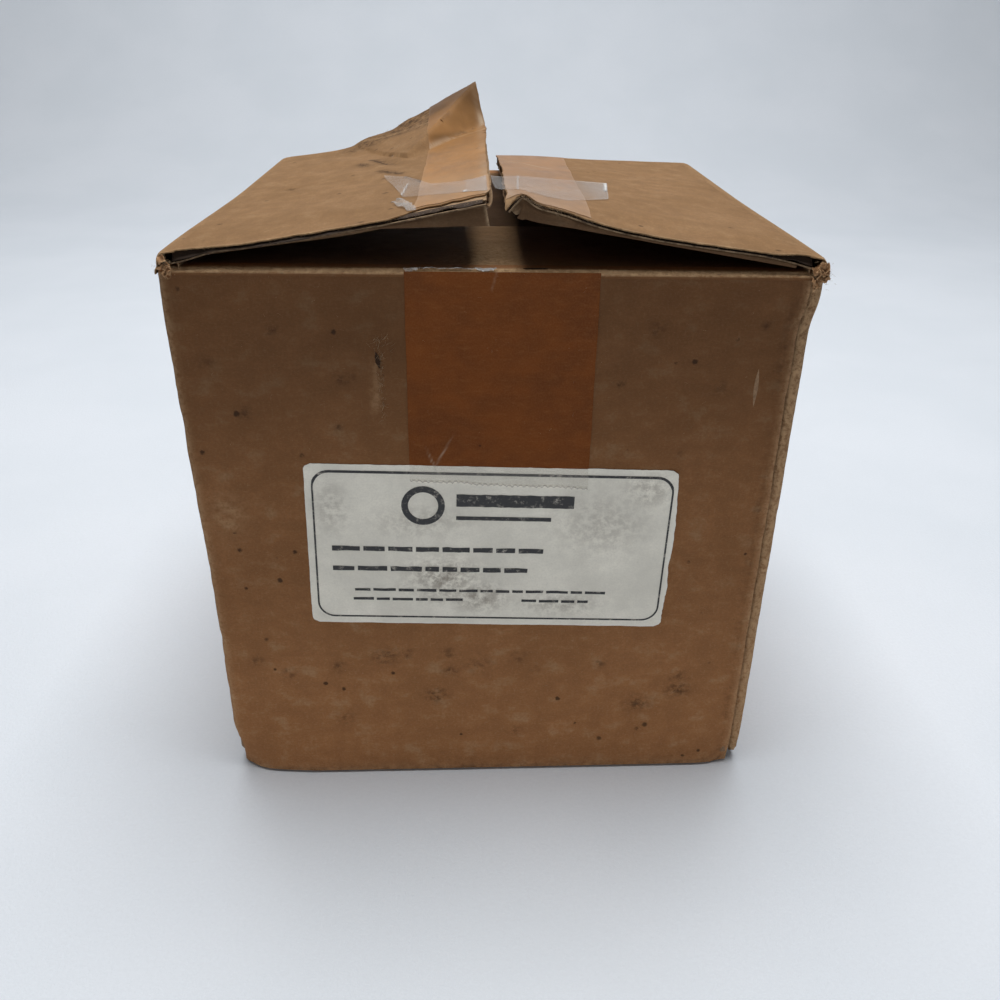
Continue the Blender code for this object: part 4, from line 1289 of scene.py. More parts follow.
def label_place(lift):
    """Point on the label: u to the right and v up from its middle, in millimetres."""
    turn = np.array([[math.cos(LABEL_TILT), -math.sin(LABEL_TILT)],
                     [math.sin(LABEL_TILT), math.cos(LABEL_TILT)]])

    def place(u, v):
        x = LABEL_CENTRE[0] + turn[0, 0] * u + turn[0, 1] * v
        z = LABEL_CENTRE[1] + turn[1, 0] * u + turn[1, 1] * v
        y = -SIDE - lift + 0.0 * x
        return np.stack((x, y, z), -1)

    return place


def make_label():
    half_u, half_v = LABEL_SIZE[0] / 2, LABEL_SIZE[1] / 2
    u_values = np.linspace(-1, 1, 120)
    v_values = np.linspace(-1, 1, 64)
    u, v = np.meshgrid(u_values * half_u, v_values * half_v)
    pull = np.clip((np.abs(v) - (half_v - LABEL_CORNERS)) / LABEL_CORNERS, 0, 1)
    inset = LABEL_CORNERS * (1 - np.sqrt(np.clip(1 - pull**2, 0, 1)))
    right = torn(v, 171, 4.0, 0.8) + 1.2 * bump(v, half_v, 5.0) * torn(v, 172, 2.0, 0.7)
    left = 0.25 * torn(v, 173, 5.0, 1.0)
    edge = np.where(u > 0, (inset + right), (inset + left))
    u = u * (1 - edge / half_u * smooth(np.abs(u), half_u - 9, half_u))
    low = 0.25 * torn(u, 174, 6.0, 1.1)
    high = 0.35 * torn(u, 175, 5.0, 0.9)
    v = v * (1 - np.where(v > 0, high, low) / half_v * smooth(np.abs(v), half_v - 5, half_v))
    lift = 0.14 + 0.05 * torn(u + 2 * v, 176, 7.0, 2.0)
    lifted = 0.8 * bump(u, half_u, 3.0) * bump(v, half_v, 3.0)
    outer = label_place(0.0)(u, v) - np.stack((0 * u, lift + lifted, 0 * u), -1)
    inner = outer + np.array([0, 0.12, 0])
    uv = np.stack((u / UV_UNIT + 0.6, v / UV_UNIT + 0.4), -1)
    wear = 0.8 * bump(u, half_u - 0.5, 0.8) + 0.4 * bump(np.abs(v), half_v, 0.5)
    stains = ((-13.0, -10.0, 10.0, 7.0, 0.75), (-3.0, -16.0, 8.0, 5.0, 0.7), (30.0, 8.0, 13.0, 10.0, 0.35),
              (-44.0, 12.0, 5.0, 8.0, 0.4), (42.0, 19.0, 7.0, 5.0, 0.5), (20.0, -18.0, 12.0, 4.0, 0.45),
              (-20.0, 8.0, 14.0, 5.0, 0.35))
    dirt = 0.05 + 0.0 * u
    for centre_u, centre_v, wide, high_v, strength in stains:
        dirt = np.maximum(dirt, strength * bump(u, centre_u, wide) * bump(v, centre_v, high_v))
    made = sheet("label_sheet", outer, inner, uv, LABEL_PAPER, np.clip(wear, 0, 1), dirt)
    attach(made, "carton_shell")
    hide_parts("label")


def stroke(points, width, closed=False):
    """Strip of quads along a line of (u, v) points: left and right borders."""
    points = np.array(points, float)
    if closed:
        tangent = np.roll(points, -1, 0) - np.roll(points, 1, 0)
    else:
        tangent = np.gradient(points, axis=0)
    tangent = unit(tangent)
    normal = np.stack((-tangent[:, 1], tangent[:, 0]), -1)
    half = np.broadcast_to(width, len(points))[:, None] / 2
    return points + normal * half, points - normal * half


def ink_strip(name, parts):
    """One object of thin printed strips; parts are (left border, right border, closed)."""
    place = label_place(0.245)
    points, faces, uv = [], [], []
    thick = np.array([0, 0.03, 0])
    for left, right, closed in parts:
        base = len(points)
        count = len(left)
        for one, two in zip(left, right):
            for (u, v), depth in ((one, 0), (two, 0), (two, 1), (one, 1)):
                points.append(place(np.array(u), np.array(v)) + thick * depth)
                uv.append((u / UV_UNIT, v / UV_UNIT))
        spans = count if closed else count - 1
        for k in range(spans):
            a = base + 4 * k
            b = base + 4 * ((k + 1) % count)
            for side in range(4):
                other = (side + 1) % 4
                faces.append((a + side, a + other, b + other, b + side))
        if not closed:
            last = base + 4 * (count - 1)
            faces.append((base + 3, base + 2, base + 1, base))
            faces.append((last, last + 1, last + 2, last + 3))
    points = np.array(points)
    faces = np.array(faces)
    if signed_volume(points, faces) < 0:
        faces = faces[:, ::-1]
    made = new_object(name, points, faces, LABEL_INK)
    grid_uv(made, np.array(uv), len(points))
    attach(made, "carton_shell")


def rounded_rectangle(half_u, half_v, radius, steps=8):
    points = []
    corners = ((half_u - radius, half_v - radius, 0), (-half_u + radius, half_v - radius, 90),
               (-half_u + radius, -half_v + radius, 180), (half_u - radius, -half_v + radius, 270))
    for centre_u, centre_v, start in corners:
        for k in range(steps + 1):
            angle = math.radians(start + 90 * k / steps)
            points.append((centre_u + radius * math.cos(angle), centre_v + radius * math.sin(angle)))
    return points


def make_print():
    """Border line, plain grey-out bars for the lines of print, and a plain ring mark."""
    border = np.array(rounded_rectangle(48.6, 23.0, 4.6))
    width = np.where(border[:, 1] > 20.0, 0.75, 0.5)
    left, right = stroke(border, width, closed=True)
    ink_strip("label_border", [(left, right, True)])

    rng = np.random.default_rng(181)
    bars = []

    def line_of_bars(start, end, v, height, words):
        u = start
        for _ in range(words):
            length = rng.uniform(0.6, 1.5) * (end - start) / words * 0.8
            stop = min(u + length, end)
            if stop - u > 0.8:
                steps = np.linspace(u, stop, max(3, int((stop - u) / 1.2)))
                middle = np.full_like(steps, v) + 0.06 * np.sin(steps * 3)
                heights = height * (0.82 + 0.3 * torn(steps, int(rng.integers(1000)), 1.6, 0.9))
                one, two = stroke(np.stack((steps, middle), -1), heights)
                bars.append((one, two, False))
            u = stop + 0.25 * height + 0.6

    line_of_bars(-44.1, 14.4, -0.5, 1.5, 8)
    line_of_bars(-44.1, 15.2, -6.9, 1.5, 8)
    line_of_bars(-38.2, 34.0, -13.9, 0.85, 13)
    line_of_bars(-38.7, -6.7, -17.0, 0.85, 6)
    line_of_bars(9.1, 32.9, -17.0, 0.85, 4)
    ink_strip("label_lines", bars)

    ring = [(-19.0 + 5.0 * math.cos(a), 13.2 + 5.0 * math.sin(a))
            for a in np.linspace(0, 2 * math.pi, 33)[:-1]]
    left, right = stroke(ring, 1.8, closed=True)
    heading = [(left, right, True)]
    for v, height, start, end in ((15.0, 3.8, -10.0, 22.0), (9.6, 1.2, -10.0, 16.0)):
        steps = np.linspace(start, end, 30)
        one, two = stroke(np.stack((steps, np.full_like(steps, v)), -1),
                          height * (0.9 + 0.15 * torn(steps, 5, 2.0, 0.7)))
        heading.append((one, two, False))
    ink_strip("label_heading", heading)


# ---------------------------------------------------------------- tapes
def label_top(x):
    """Height of the label's upper edge at x."""
    middle_x, middle_z = LABEL_CENTRE
    return middle_z + LABEL_SIZE[1] / 2 / math.cos(LABEL_TILT) + (x - middle_x) * math.tan(LABEL_TILT) - 0.35


def make_front_tape():
    """Tape tail down the front wall: it darkens the paper, and turns clear over the label's edge."""
    left, right = TAIL_LOW[0], TAIL_HIGH[0]
    top = STRIP_START + 0.9
    x_values = stations(left, right, 0.5)
    foot = (99.8 - 0.05 * (x_values - left) + 0.5 * np.abs(np.sin(math.pi * x_values / 1.6))
            + 0.7 * torn(x_values, 191))
    edge = label_top(x_values) + 0.15
    for name, low, high, rows, lift, material, node in (
        ("front_tape_film", edge, np.full_like(edge, top), 70, 0.16, WALL_TAPE, ("front_tape_tail",)),
        ("front_tape_over_label", foot, edge, 14, 0.44, CLEAR_FILM, ()),
    ):
        z = low[None, :] + np.linspace(0, 1, rows)[:, None] * (high - low)[None, :]
        x = np.broadcast_to(x_values[None, :], z.shape)
        pull = 0.35 * torn(z, 193, 9.0, 2.0) * (bump(x, left, 1.2) - bump(x, right, 1.2))
        swell = 0.06 * np.sin(2 * math.pi * x / 17.0) * np.sin(z / 7.0)
        outer = np.stack((x + pull, -SIDE - lift - swell * (rows > 20), z), -1)
        uv = np.stack((x / UV_UNIT + 0.1, z / UV_UNIT), -1)
        scratch = bump(x - 0.55 * (z - 108.0), -14.0, 0.22) * bump(z, 108.0, 3.5)
        scratch = np.maximum(scratch, bump(x + 0.4 * (z - 106.0), -16.5, 0.2) * bump(z, 106.0, 2.6))
        slit = 0.18 * bump(x, -0.3 + 0.25 * (z - 156.0), 0.22) * smooth(z, 151.5, 152.5)
        wear = 0.6 * scratch + slit + 0.5 * bump(z, foot[None, :], 0.35)
        dirt = 0.12 * torn(x * 0.8 + z * 0.5, 195, 11.0, 3.0)
        made = sheet(name, outer, outer + np.array([0, 0.08, 0]), uv, material, np.clip(wear, 0, 1), dirt)
        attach(made, "carton_shell")
        if node:
            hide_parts(*node)


def make_back_tape():
    low, high = box_mm("back_tape_tail")
    x_values = stations(low[0], high[0], 0.9)
    foot = low[2] + 0.4 * np.abs(np.sin(math.pi * x_values / 1.6))
    share = np.linspace(0, 1, 40)[:, None]
    z = foot[None, :] + share * (STRIP_START + 0.9 - foot[None, :])
    x = np.broadcast_to(x_values[None, :], z.shape)
    outer = np.stack((x, SIDE + 0.16 + 0.05 * np.sin(x / 6.0) * np.sin(z / 8.0), z), -1)
    uv = np.stack((x / UV_UNIT + 0.7, z / UV_UNIT), -1)
    made = sheet("back_tape_film", outer, outer - np.array([0, 0.08, 0]), uv, WALL_TAPE)
    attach(made, "carton_shell")
    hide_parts("back_tape_tail")


LEFT_TAPE_WIDTH = 19.3
RIGHT_TAPE_WIDTH = 21.5
RIGHT_TAPE_SKEW = 0.05
TAPE_FRONT_GAP = 3.4


def tape_paint(s, t, width):
    """Pale line at the tape's free edge, scuffs along the seam, painted light towards the front, a painted
    glint by the seam, and painted shade with grime in the left corner's folds.
    """
    wear = 0.12 * bump(t, FLAP_LENGTH - width + 0.3, 0.25)
    wear = wear + 0.40 * bump(t, FLAP_LENGTH - 1.2, 1.2) * torn(s, 207, 6.0, 1.0)
    # Lighter towards the front: partly the film's milky haze, partly painted light.
    wear = wear + 0.16 * smooth(-s, 15.0, 45.0)
    # Grey streak in the corner's second crease: painted shade, with some grey of the creased tape.
    streak_t = np.interp(s, (31.0, 38.0, 49.0, 50.5), (57.5, 62.7, 72.4, 78.9))
    streak = 0.75 * bump(t, streak_t, 0.9) * smooth(s, 33.0, 39.0) * smooth(-s, -51.5, -49.5)
    # The rear part and the tip darker: partly painted shade, partly dirt.
    beyond = 0.34 * smooth(s, 49.0, 62.0) + 0.25 * smooth(s, 2.0, 25.0)
    beyond = beyond + 0.55 * smooth(s, 60.0, 68.0) * (0.3 + 0.9 * torn(t + 0.4 * s, 211, 5.0, 1.5))
    ridge_t = np.interp(s, (28.1, 32.7, 36.7, 41.2, 42.9, 46.1, 47.8),
                        (57.6, 60.5, 63.4, 66.8, 70.3, 74.6, 79.2))
    wear = wear + 0.7 * bump(t, ridge_t, 0.7) * smooth(s, 27.0, 31.0) * smooth(-s, -49.5, -48.0)
    # Painted glint where the tape's edge meets the seam.
    wear = wear + bump(s, 61.0, 3.0) * bump(t, FLAP_LENGTH - 0.6, 0.9)
    # Rear edge darker: grime and painted shade.
    grime = 0.35 * bump(s, SIDE, 3.5) * torn(t, 209, 6.0, 1.5)
    return np.clip(wear, 0, 1), np.clip(streak + beyond + grime, 0, 1)


def make_seam_tapes():
    """What stays of the tape on either side of the seam; it follows the flaps' faces."""
    plate_s = stations(-SIDE + TAPE_FRONT_GAP, CREASE_SEAM_S + 18.0, 1.0)
    band_s = stations(BAND_START_S + 0.9, SIDE - 0.8, 0.9)
    corner_s = stations(CORNER_START_S + 0.9, SIDE - 0.8, 0.9)
    right_s = stations(-SIDE + TAPE_FRONT_GAP, SIDE - 0.8, 1.0)

    def left_edge(s):
        return FLAP_LENGTH - LEFT_TAPE_WIDTH + 0.4 * torn(s, 201)

    def right_width(s):
        return RIGHT_TAPE_WIDTH + RIGHT_TAPE_SKEW * (s + SIDE)

    def left_end(s):
        return left_seam_end(s) - 0.15

    def crease_side(s, sign):
        return crease_t(s) + sign * BAND_SPAN

    jobs = (
        ("seam_tape_left_film", plate_s, left_edge(plate_s),
         np.minimum(left_end(plate_s), crease_side(plate_s, -1)),
         "left_flap", "seam_tape_left_flap"),
        ("seam_tape_band_film", band_s, np.maximum(left_edge(band_s), crease_side(band_s, -1)),
         np.minimum(left_end(band_s), crease_side(band_s, 1)), None, None),
        ("seam_tape_corner_film", corner_s, np.maximum(left_edge(corner_s), crease_side(corner_s, 1)),
         left_end(corner_s), "left_flap_corner", "seam_tape_left_corner"),
        ("seam_tape_right_film", right_s, FLAP_LENGTH - right_width(right_s) + 0.4 * torn(right_s, 203),
         right_seam_end(right_s) - 0.15, "right_flap", "seam_tape_right_flap"),
    )
    for name, s_values, low, end, body, node in jobs:
        on_right = body == "right_flap"
        kept = end - low > 0.05
        s, t = grid(s_values[kept], low[kept], end[kept], 26)
        if body == "left_flap":
            s = s - TAPE_FRONT_GAP * np.clip(1.0 - (s + SIDE) / 24.0, 0.0, 1.0)
            s = s + left_ply_tear(s, t) + (1.9 + 0.8 * torn(t, 206, 2.4, 0.7)) * bump(s, -SIDE, 6.0)
        s = s + 1.4 * torn(t, 205, 3.0, 0.8) * bump(s, -SIDE + TAPE_FRONT_GAP, 2.5)
        wear, dirt = tape_paint(s, t, right_width(s) if on_right else LEFT_TAPE_WIDTH)
        made = lay(name, RIGHT if on_right else LEFT, s, t, -0.13, -0.05,
                   RIGHT_TAPE if on_right else FLAP_TAPE,
                   body, (node,) if node else (), wear, 0.0 if on_right else dirt, (0.5, 0.5))
        if not body:
            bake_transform(made)


def bridge_film(name, place, s, t, lift, body, node, wear):
    lay(name, place, s, t, -lift - 0.08, -lift, MILKY_FILM, body, (node,) if node else (),
        np.clip(wear, 0, 1), 0.0, (0.2, 0.8))


def make_bridge_tape():
    """Hazy torn strip across the seam: one length on each flap, the right one reaching over the gap."""
    share = np.linspace(0, 1, 76)[None, :]
    across = np.linspace(0, 1, 44)[:, None]
    t = 47.5 + share * (FLAP_LENGTH - 0.9 - 47.5)
    low = np.interp(t, (47.1, 55.8, 78.8), (-7.8, -51.3, -68.0)) + torn(t, 211, 5.0)
    high = (np.interp(t, (47.1, 55.0, 62.8, 72.6, 79.0), (-7.8, -18.5, -40.2, -46.5, -44.9))
            + 1.2 * torn(t, 213, 4.0))
    s = low + across * (high - low)
    t = t + 0.0 * s
    crinkle = 0.20 + 0.20 * torn(s * 0.5 + t * 0.9, 217, 3.4, 1.2) * smooth(-t, -72, -56)
    end_crease = bump(t - 0.07 * (s + 51.0), 55.0, 0.4) * smooth(-s, 28.0, 36.0)
    seam_haze = 0.20 * smooth(t, 70.5, 73.5)
    sparkle = 0.6 * bump(t, 72.3, 0.5) * smooth(torn(s, 219, 3.0, 0.8), 0.45, 0.75)
    rims = 0.16 * bump(s, low, 0.5) + 0.12 * bump(s, high, 0.6)
    bridge_film("bridge_film_left", LEFT, s, t, crinkle, "left_flap", "bridge_tape_left_flap",
                0.45 * end_crease + seam_haze + sparkle + rims)

    t = 43.6 + share * (FLAP_LENGTH + 1.8 - 43.6)
    low = (np.interp(t, (43.3, 48.8, 61.8, 67.0, 74.5, 79.2), (-0.1, -42.4, -59.5, -59.9, -56.5, -64.0))
           + 0.8 * torn(t, 221, 5.0))
    high = np.interp(t, (43.3, 72.0, 77.4, 81.0), (-0.1, -13.1, -24.8, -27.0)) + 0.8 * torn(t, 223, 5.0)
    s = low + across * (high - low)
    t = t + 0.0 * s
    lift = 0.22 + 0.12 * torn(s * 0.6 + t * 0.5, 227, 4.0, 1.2)
    end_line = 0.8 * bump(t + 0.13 * s, 43.9, 0.45) * smooth(s, -22.0, -16.0)
    crease = 0.35 * bump(t + 0.058 * (s + 13.1), 72.1, 0.4)
    rims = 0.2 * bump(s, high, 0.7) + 0.12 * bump(s, low, 0.7)
    haze = 0.20 * smooth(-t, -62.0, -48.0) + 0.12 * smooth(t, 76.5, 78.5)
    bridge_film("bridge_film_right", RIGHT, s, t, lift, "right_flap", "bridge_tape_right_flap",
                end_line + crease + rims + haze)


def make_scrap():
    """Crumpled rest of film lying slantwise by the left flap's torn edge."""
    start = np.array([-57.5, 54.6])
    end = np.array([-76.0, 60.3])
    run = end - start
    side = np.array([-run[1], run[0]]) / np.linalg.norm(run)
    a = np.linspace(0, 1, 70)[None, :]
    b = np.linspace(-1, 1, 22)[:, None]
    half = (1.8 * (1.0 - 0.45 * a) * (0.55 + 0.75 * torn(a * 22, 231, 2.6, 0.8))
            * smooth(np.minimum(a, 1 - a), -0.03, 0.10))
    wander = 1.1 * (torn(a * 22, 233, 5.0, 1.2) - 0.5)
    s = start[0] + a * run[0] + (b * half + wander) * side[0]
    t = start[1] + a * run[1] + (b * half + wander) * side[1]
    bend = 1.6 * torn(s * 0.8 + 0.2 * t, 237, 2.4, 0.8)
    folds = np.abs(np.sin(t * 1.1 + 0.5 * s + bend)) * 0.6 + 0.8 * torn(t * 0.8 + s, 235, 2.1, 0.6)
    lumps = bump(a, 0.12, 0.13) + 0.8 * bump(a, 0.6, 0.13)
    lift = 0.24 + folds * (0.25 + lumps) * (1.0 - 0.6 * np.abs(b))
    lay("tape_scrap_film", LEFT, s, t, -lift - 0.08, -lift, SCRAP_FILM, "left_flap",
        ("tape_scrap",), np.clip((folds - 0.65) * (0.2 + lumps), 0, 0.85), 0.0, (0.2, 0.8))


def make_edge_crinkles():
    """Silvery creased rests of the tape along the front top edge: start, end, height, crumpling."""
    pieces = ((-22.6, -19.2, 1.0, 0.7), (-20.0, -12.0, 0.2, 0.3), (-13.0, -4.6, 0.15, 0.2),
              (-5.4, -0.2, 0.7, 0.3))
    for number, (start, end, height, crumple) in enumerate(pieces):
        x_values = stations(start, end, 0.2)
        along = np.linspace(0, 1, x_values.size)
        envelope = np.sin(math.pi * np.clip(along, 0.02, 0.98)) ** 0.35
        share = np.linspace(0, 1, 12)[:, None]
        top = MINOR_TOP + 0.15 + 0.5 * torn(x_values, 241 + number, 2.2, 0.6)
        low = top - height * envelope * (0.35 + torn(x_values, 251 + number, 1.6, 0.5))
        z = low[None, :] + share * (top - low)[None, :]
        x = np.broadcast_to(x_values[None, :], z.shape)
        folds = (np.abs(np.sin(0.9 * x + 2.3 * z + 3.0 * torn(x, 271, 1.7, 0.6)))
                 + torn(x + 1.7 * z, 261 + number, 1.6, 0.6))
        y = -SIDE - 0.12 - 0.45 * crumple * folds + 1.4 * smooth(z, MINOR_TOP - 1.4, MINOR_TOP + 0.7)
        outer = np.stack((x, y, z), -1)
        uv = np.stack((x / UV_UNIT, z / UV_UNIT), -1)
        made = sheet(f"edge_crinkle_{number + 1}", outer, outer + np.array([0, 0.08, 0]), uv, SCRAP_FILM,
                     np.clip(folds - 0.8, 0, 1) if number < 3 else 0.85)
        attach(made, "carton_shell")

    # Painted shade: fold_tear is a dark sheet for the inside of a small tear on the fold.
    tears = (("fold_tear", 6.2, 12.4, -SIDE + 2.0, MINOR_TOP + 0.2, 0.6),
             ("fold_scuff", 0.0, 5.4, -SIDE + 0.05, MINOR_TOP - 1.1, 0.6))
    for name, start, end, y, z, half in tears:
        x, across = np.meshgrid(stations(start, end, 0.2), np.linspace(-1, 1, 7))
        wide = half * (0.3 + 0.9 * torn(x, 281, 1.8, 0.5)) * smooth(np.minimum(x - start, end - x), -0.1, 1.0)
        along_wall = name == "fold_scuff"
        offset = across * wide
        outer = np.stack((x, y - (0.16 if along_wall else 0) + (0 if along_wall else 1) * offset,
                          z + (1 if along_wall else 0) * offset), -1)
        thick = np.array([0, 0.1, 0]) if along_wall else np.array([0, 0, -0.1])
        uv = np.stack((x / UV_UNIT, across / UV_UNIT), -1)
        made = sheet(name, outer, outer + thick, uv, WALL_KRAFT, 0.0, 0.75 if along_wall else 1.0)
        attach(made, "carton_shell")


def make_wall_tear():
    """Small hole punched in the front wall, drawn as a dark sheet of painted shade, with fibres frayed from
    it down along the crease below, and lint over the wall.
    """
    share = np.linspace(0, 1, 24)
    across = np.linspace(-1, 1, 7)[:, None]
    middle_x = CRACK_X - 0.2 + 0.8 * (share - 0.5)
    middle_z = CRACK_TOP + 2.2 - 4.4 * share
    half = 0.75 * np.sin(math.pi * share) * (0.6 + 0.6 * torn(share * 8, 285, 1.5, 0.6))
    x = middle_x[None, :] + across * half[None, :]
    z = middle_z[None, :] + 0.25 * across * half[None, :]
    outer = np.stack((x, np.full_like(x, -SIDE - 0.06), z), -1)
    uv = np.stack((x / UV_UNIT, z / UV_UNIT), -1)
    # Painted shade: a dark sheet stands for the inside of the hole.
    made = sheet("front_wall_hole", outer, outer + np.array([0, 0.1, 0]), uv, WALL_KRAFT, 0.0, 1.0)
    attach(made, "carton_shell")

    rng = np.random.default_rng(291)
    count = 90
    fall = rng.uniform(0, 1, count) ** 1.5
    z = CRACK_TOP + 5.5 - fall * 22.0
    x = CRACK_X + 0.5 + rng.normal(0, 0.35 + 0.9 * (fall < 0.25), count)
    roots = np.stack((x, np.full(count, -SIDE - 0.1), z), -1)
    headings = np.stack((rng.normal(0.2, 0.6, count), rng.normal(-0.05, 0.06, count),
                         rng.normal(0.6, 0.8, count)), -1)
    fibre_bundle("front_wall_hole_fibres", roots, headings, rng.uniform(0.6, 2.4, count), 0.045,
                 "carton_shell", 293)

    count = 260
    x = rng.uniform(-SIDE + 3, SIDE - 6, count)
    z = rng.uniform(4.0, 153.0, count)
    roots = np.stack((x, np.full(count, -SIDE - 0.10)
                      - 0.14 * ((x > TAIL_LOW[0]) & (x < TAIL_HIGH[0]) & (z > 104)), z), -1)
    on_label = (np.abs(x - LABEL_CENTRE[0]) < 53) & (np.abs(z - LABEL_CENTRE[1]) < 29)
    roots = roots[~on_label]
    count = len(roots)
    headings = np.stack((rng.normal(0, 1.0, count), rng.normal(0, 0.03, count), rng.normal(0, 0.5, count)),
                        -1)
    fibre_bundle("front_wall_lint", roots, headings, rng.uniform(0.4, 1.8, count), 0.028, "carton_shell",
                 295, 0.8)


# ---------------------------------------------------------------- loose fibres
def fibre_bundle(name, roots, directions, lengths, radius, body, seed, curl=0.5):
    """Tapering paper fibres: each is a three-sided tube along a short random curve."""
    rng = np.random.default_rng(seed)
    points, faces, uv = [], [], []
    steps = 5
    for root, direction, length in zip(roots, directions, lengths):
        position = np.array(root, float)
        heading = unit(np.array(direction, float))
        base = len(points)
        tone = rng.random(2)
        for k in range(steps):
            side = unit(np.cross(heading, np.array([0.3, 0.2, 1.0])))
            up = np.cross(side, heading)
            size = radius * (1.0 - 0.8 * k / (steps - 1))
            for corner in range(3):
                angle = corner * 2 * math.pi / 3
                points.append(position + size * (math.cos(angle) * side + 0.5 * math.sin(angle) * up))
                uv.append(tone * 3)
            position = position + heading * length / (steps - 1)
            heading = unit(heading + curl * rng.normal(0, 0.45, 3))
        for k in range(steps - 1):
            for corner in range(3):
                other = (corner + 1) % 3
                a = base + 3 * k
                faces.append((a + corner, a + other, a + 3 + other, a + 3 + corner))
        faces.append((base + 2, base + 1, base))
        last = base + 3 * (steps - 1)
        faces.append((last, last + 1, last + 2))
    data = bpy.data.meshes.new(name)
    data.from_pydata((np.array(points) / METRE).tolist(), [], faces)
    data.shade_smooth()
    data.materials.append(FIBRE)
    made = bpy.data.objects.new(name, data)
    bpy.context.scene.collection.objects.link(made)
    grid_uv(made, np.array(uv), len(points))
    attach(made, body)


def crumpled_scraps(name, centre, spread, size, count, body, seed):
    """Small torn bits of liner pushed together: each a ragged, folded patch."""
    rng = np.random.default_rng(seed)
    steps = np.linspace(-1, 1, 13)
    for number in range(count):
        a, b = np.meshgrid(steps, steps)
        edge = 1.0 - 0.45 * torn(a * 3 + b * 5 + 7 * number, seed + number, 1.4, 0.5)
        round_off = 1.0 / np.maximum(1.0, 0.75 * np.hypot(a, b))
        a, b = a * edge * round_off, b * edge * round_off
        height = (0.45 * np.sin(3.1 * a + 2.3 * b + rng.uniform(0, 6))
                  + 0.5 * (torn(a * 4 - b * 3, seed + 9, 1.2, 0.5) - 0.5))
        frame_x = unit(rng.normal(0, 1, 3) + np.array([0.8, 0, 0]))
        frame_z = unit(np.cross(frame_x, unit(rng.normal(0, 0.6, 3) + np.array([0, 0.6, 0.6]))))
        frame_y = np.cross(frame_z, frame_x)
        scale = size * rng.uniform(0.6, 1.1)
        place = np.array(centre) + rng.normal(0, 1, 3) * np.array(spread)
        outer = place + scale * (a[..., None] * frame_x + b[..., None] * frame_y
                                 + 0.45 * height[..., None] * frame_z)
        uv = np.stack((a * scale / UV_UNIT + number, b * scale / UV_UNIT), -1)
        made = sheet(f"{name}_{number + 1}", outer, outer + 0.25 * frame_z, uv, WALL_KRAFT,
                     np.clip(0.15 + 0.5 * np.hypot(a, b), 0, 1), 0.3)
        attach(made, body)


def make_fibres():
    rng = np.random.default_rng(301)
    corners = (
        ("front_left_corner", (-78.8, -80.0, 157.0), (0.8, 0.35, 1.0), 1.3, 16, 190, (-0.3, -0.5, 0.1)),
        ("front_right_corner", (78.8, -80.1, 156.7), (0.9, 0.35, 1.2), 1.45, 17, 200, (0.4, -0.5, 0.0)),
    )
    for number, (name, centre, spread, size, scraps, count, direction) in enumerate(corners):
        crumpled_scraps(f"{name}_scrap", centre, spread, size, scraps, "carton_shell", 351 + 20 * number)
        roots = np.array(centre) + rng.normal(0, 1, (count, 3)) * np.array(spread) * 1.1
        headings = np.array(direction) + rng.normal(0, 1, (count, 3)) * 0.8
        fibre_bundle(f"{name}_fibres", roots, headings, rng.uniform(0.3, 1.1, count), 0.06, "carton_shell",
                     311 + number)

    count = 900
    x_values = rng.uniform(-76.0, 77.0, count)
    roots = np.stack((x_values, -SIDE + rng.uniform(0.0, 1.8, count), MINOR_TOP
                      - rng.uniform(0.0, 1.6, count)), -1)
    headings = np.stack((rng.normal(0, 1.0, count), np.full(count, -0.5), rng.normal(0.2, 0.5, count)), -1)
    fibre_bundle("front_edge_fibres", roots, headings, rng.uniform(0.25, 0.8, count), 0.04, "carton_shell",
                 321)

    for name, place, t_range, body in (
        ("left_flap_edge_fibres", LEFT, (6.0, 77.0), "left_flap"),
        ("right_flap_edge_fibres", RIGHT, (6.0, 77.0), "right_flap"),
    ):
        count = 320
        t = rng.uniform(*t_range, count)
        s = -SIDE + 1.0 + rng.uniform(0, 1.2, count)
        roots = place(s, t, rng.uniform(0.0, 0.6, count))
        headings = np.stack((rng.normal(0, 0.9, count), np.full(count, -0.8), rng.normal(0.1, 0.4, count)),
                            -1)
        fibre_bundle(name, roots, headings, rng.uniform(0.3, 1.0, count), 0.05, body, 331)

    count = 140
    t = rng.uniform(64.0, 77.5, count)
    roots = RIGHT(-SIDE + 1.0 + rng.uniform(0, 1.0, count), t, rng.uniform(-0.1, 1.0, count))
    headings = np.stack((rng.normal(-0.5, 0.7, count), np.full(count, -0.6), rng.normal(0.3, 0.5, count)), -1)
    fibre_bundle("right_flap_torn_corner_fibres", roots, headings, rng.uniform(0.6, 2.0, count), 0.06,
                 "right_flap", 335)

    count = 160
    t = rng.uniform(34.0, 76.0, count)
    roots = LEFT(SIDE - 0.8 + rng.uniform(-0.4, 0.3, count), t, rng.uniform(0.0, 1.0, count))
    headings = np.stack((rng.normal(0, 0.7, count), np.full(count, 0.7), rng.normal(0.4, 0.5, count)), -1)
    fibre_bundle("left_corner_rear_fibres", roots, headings, rng.uniform(0.4, 1.2, count), 0.055,
                 "left_flap_corner", 341)


# ---------------------------------------------------------------- stage, light and camera
FOCAL_PIXELS = 948.7
IMAGE_PIXELS = 1000.0
SENSOR = 36.0
CAMERA_PLACE = (-6.77, -306.77, 213.32)
CAMERA_PITCH = math.radians(27.54)
CAMERA_YAW = math.radians(2.105)
CAMERA_ROLL = math.radians(1.023)


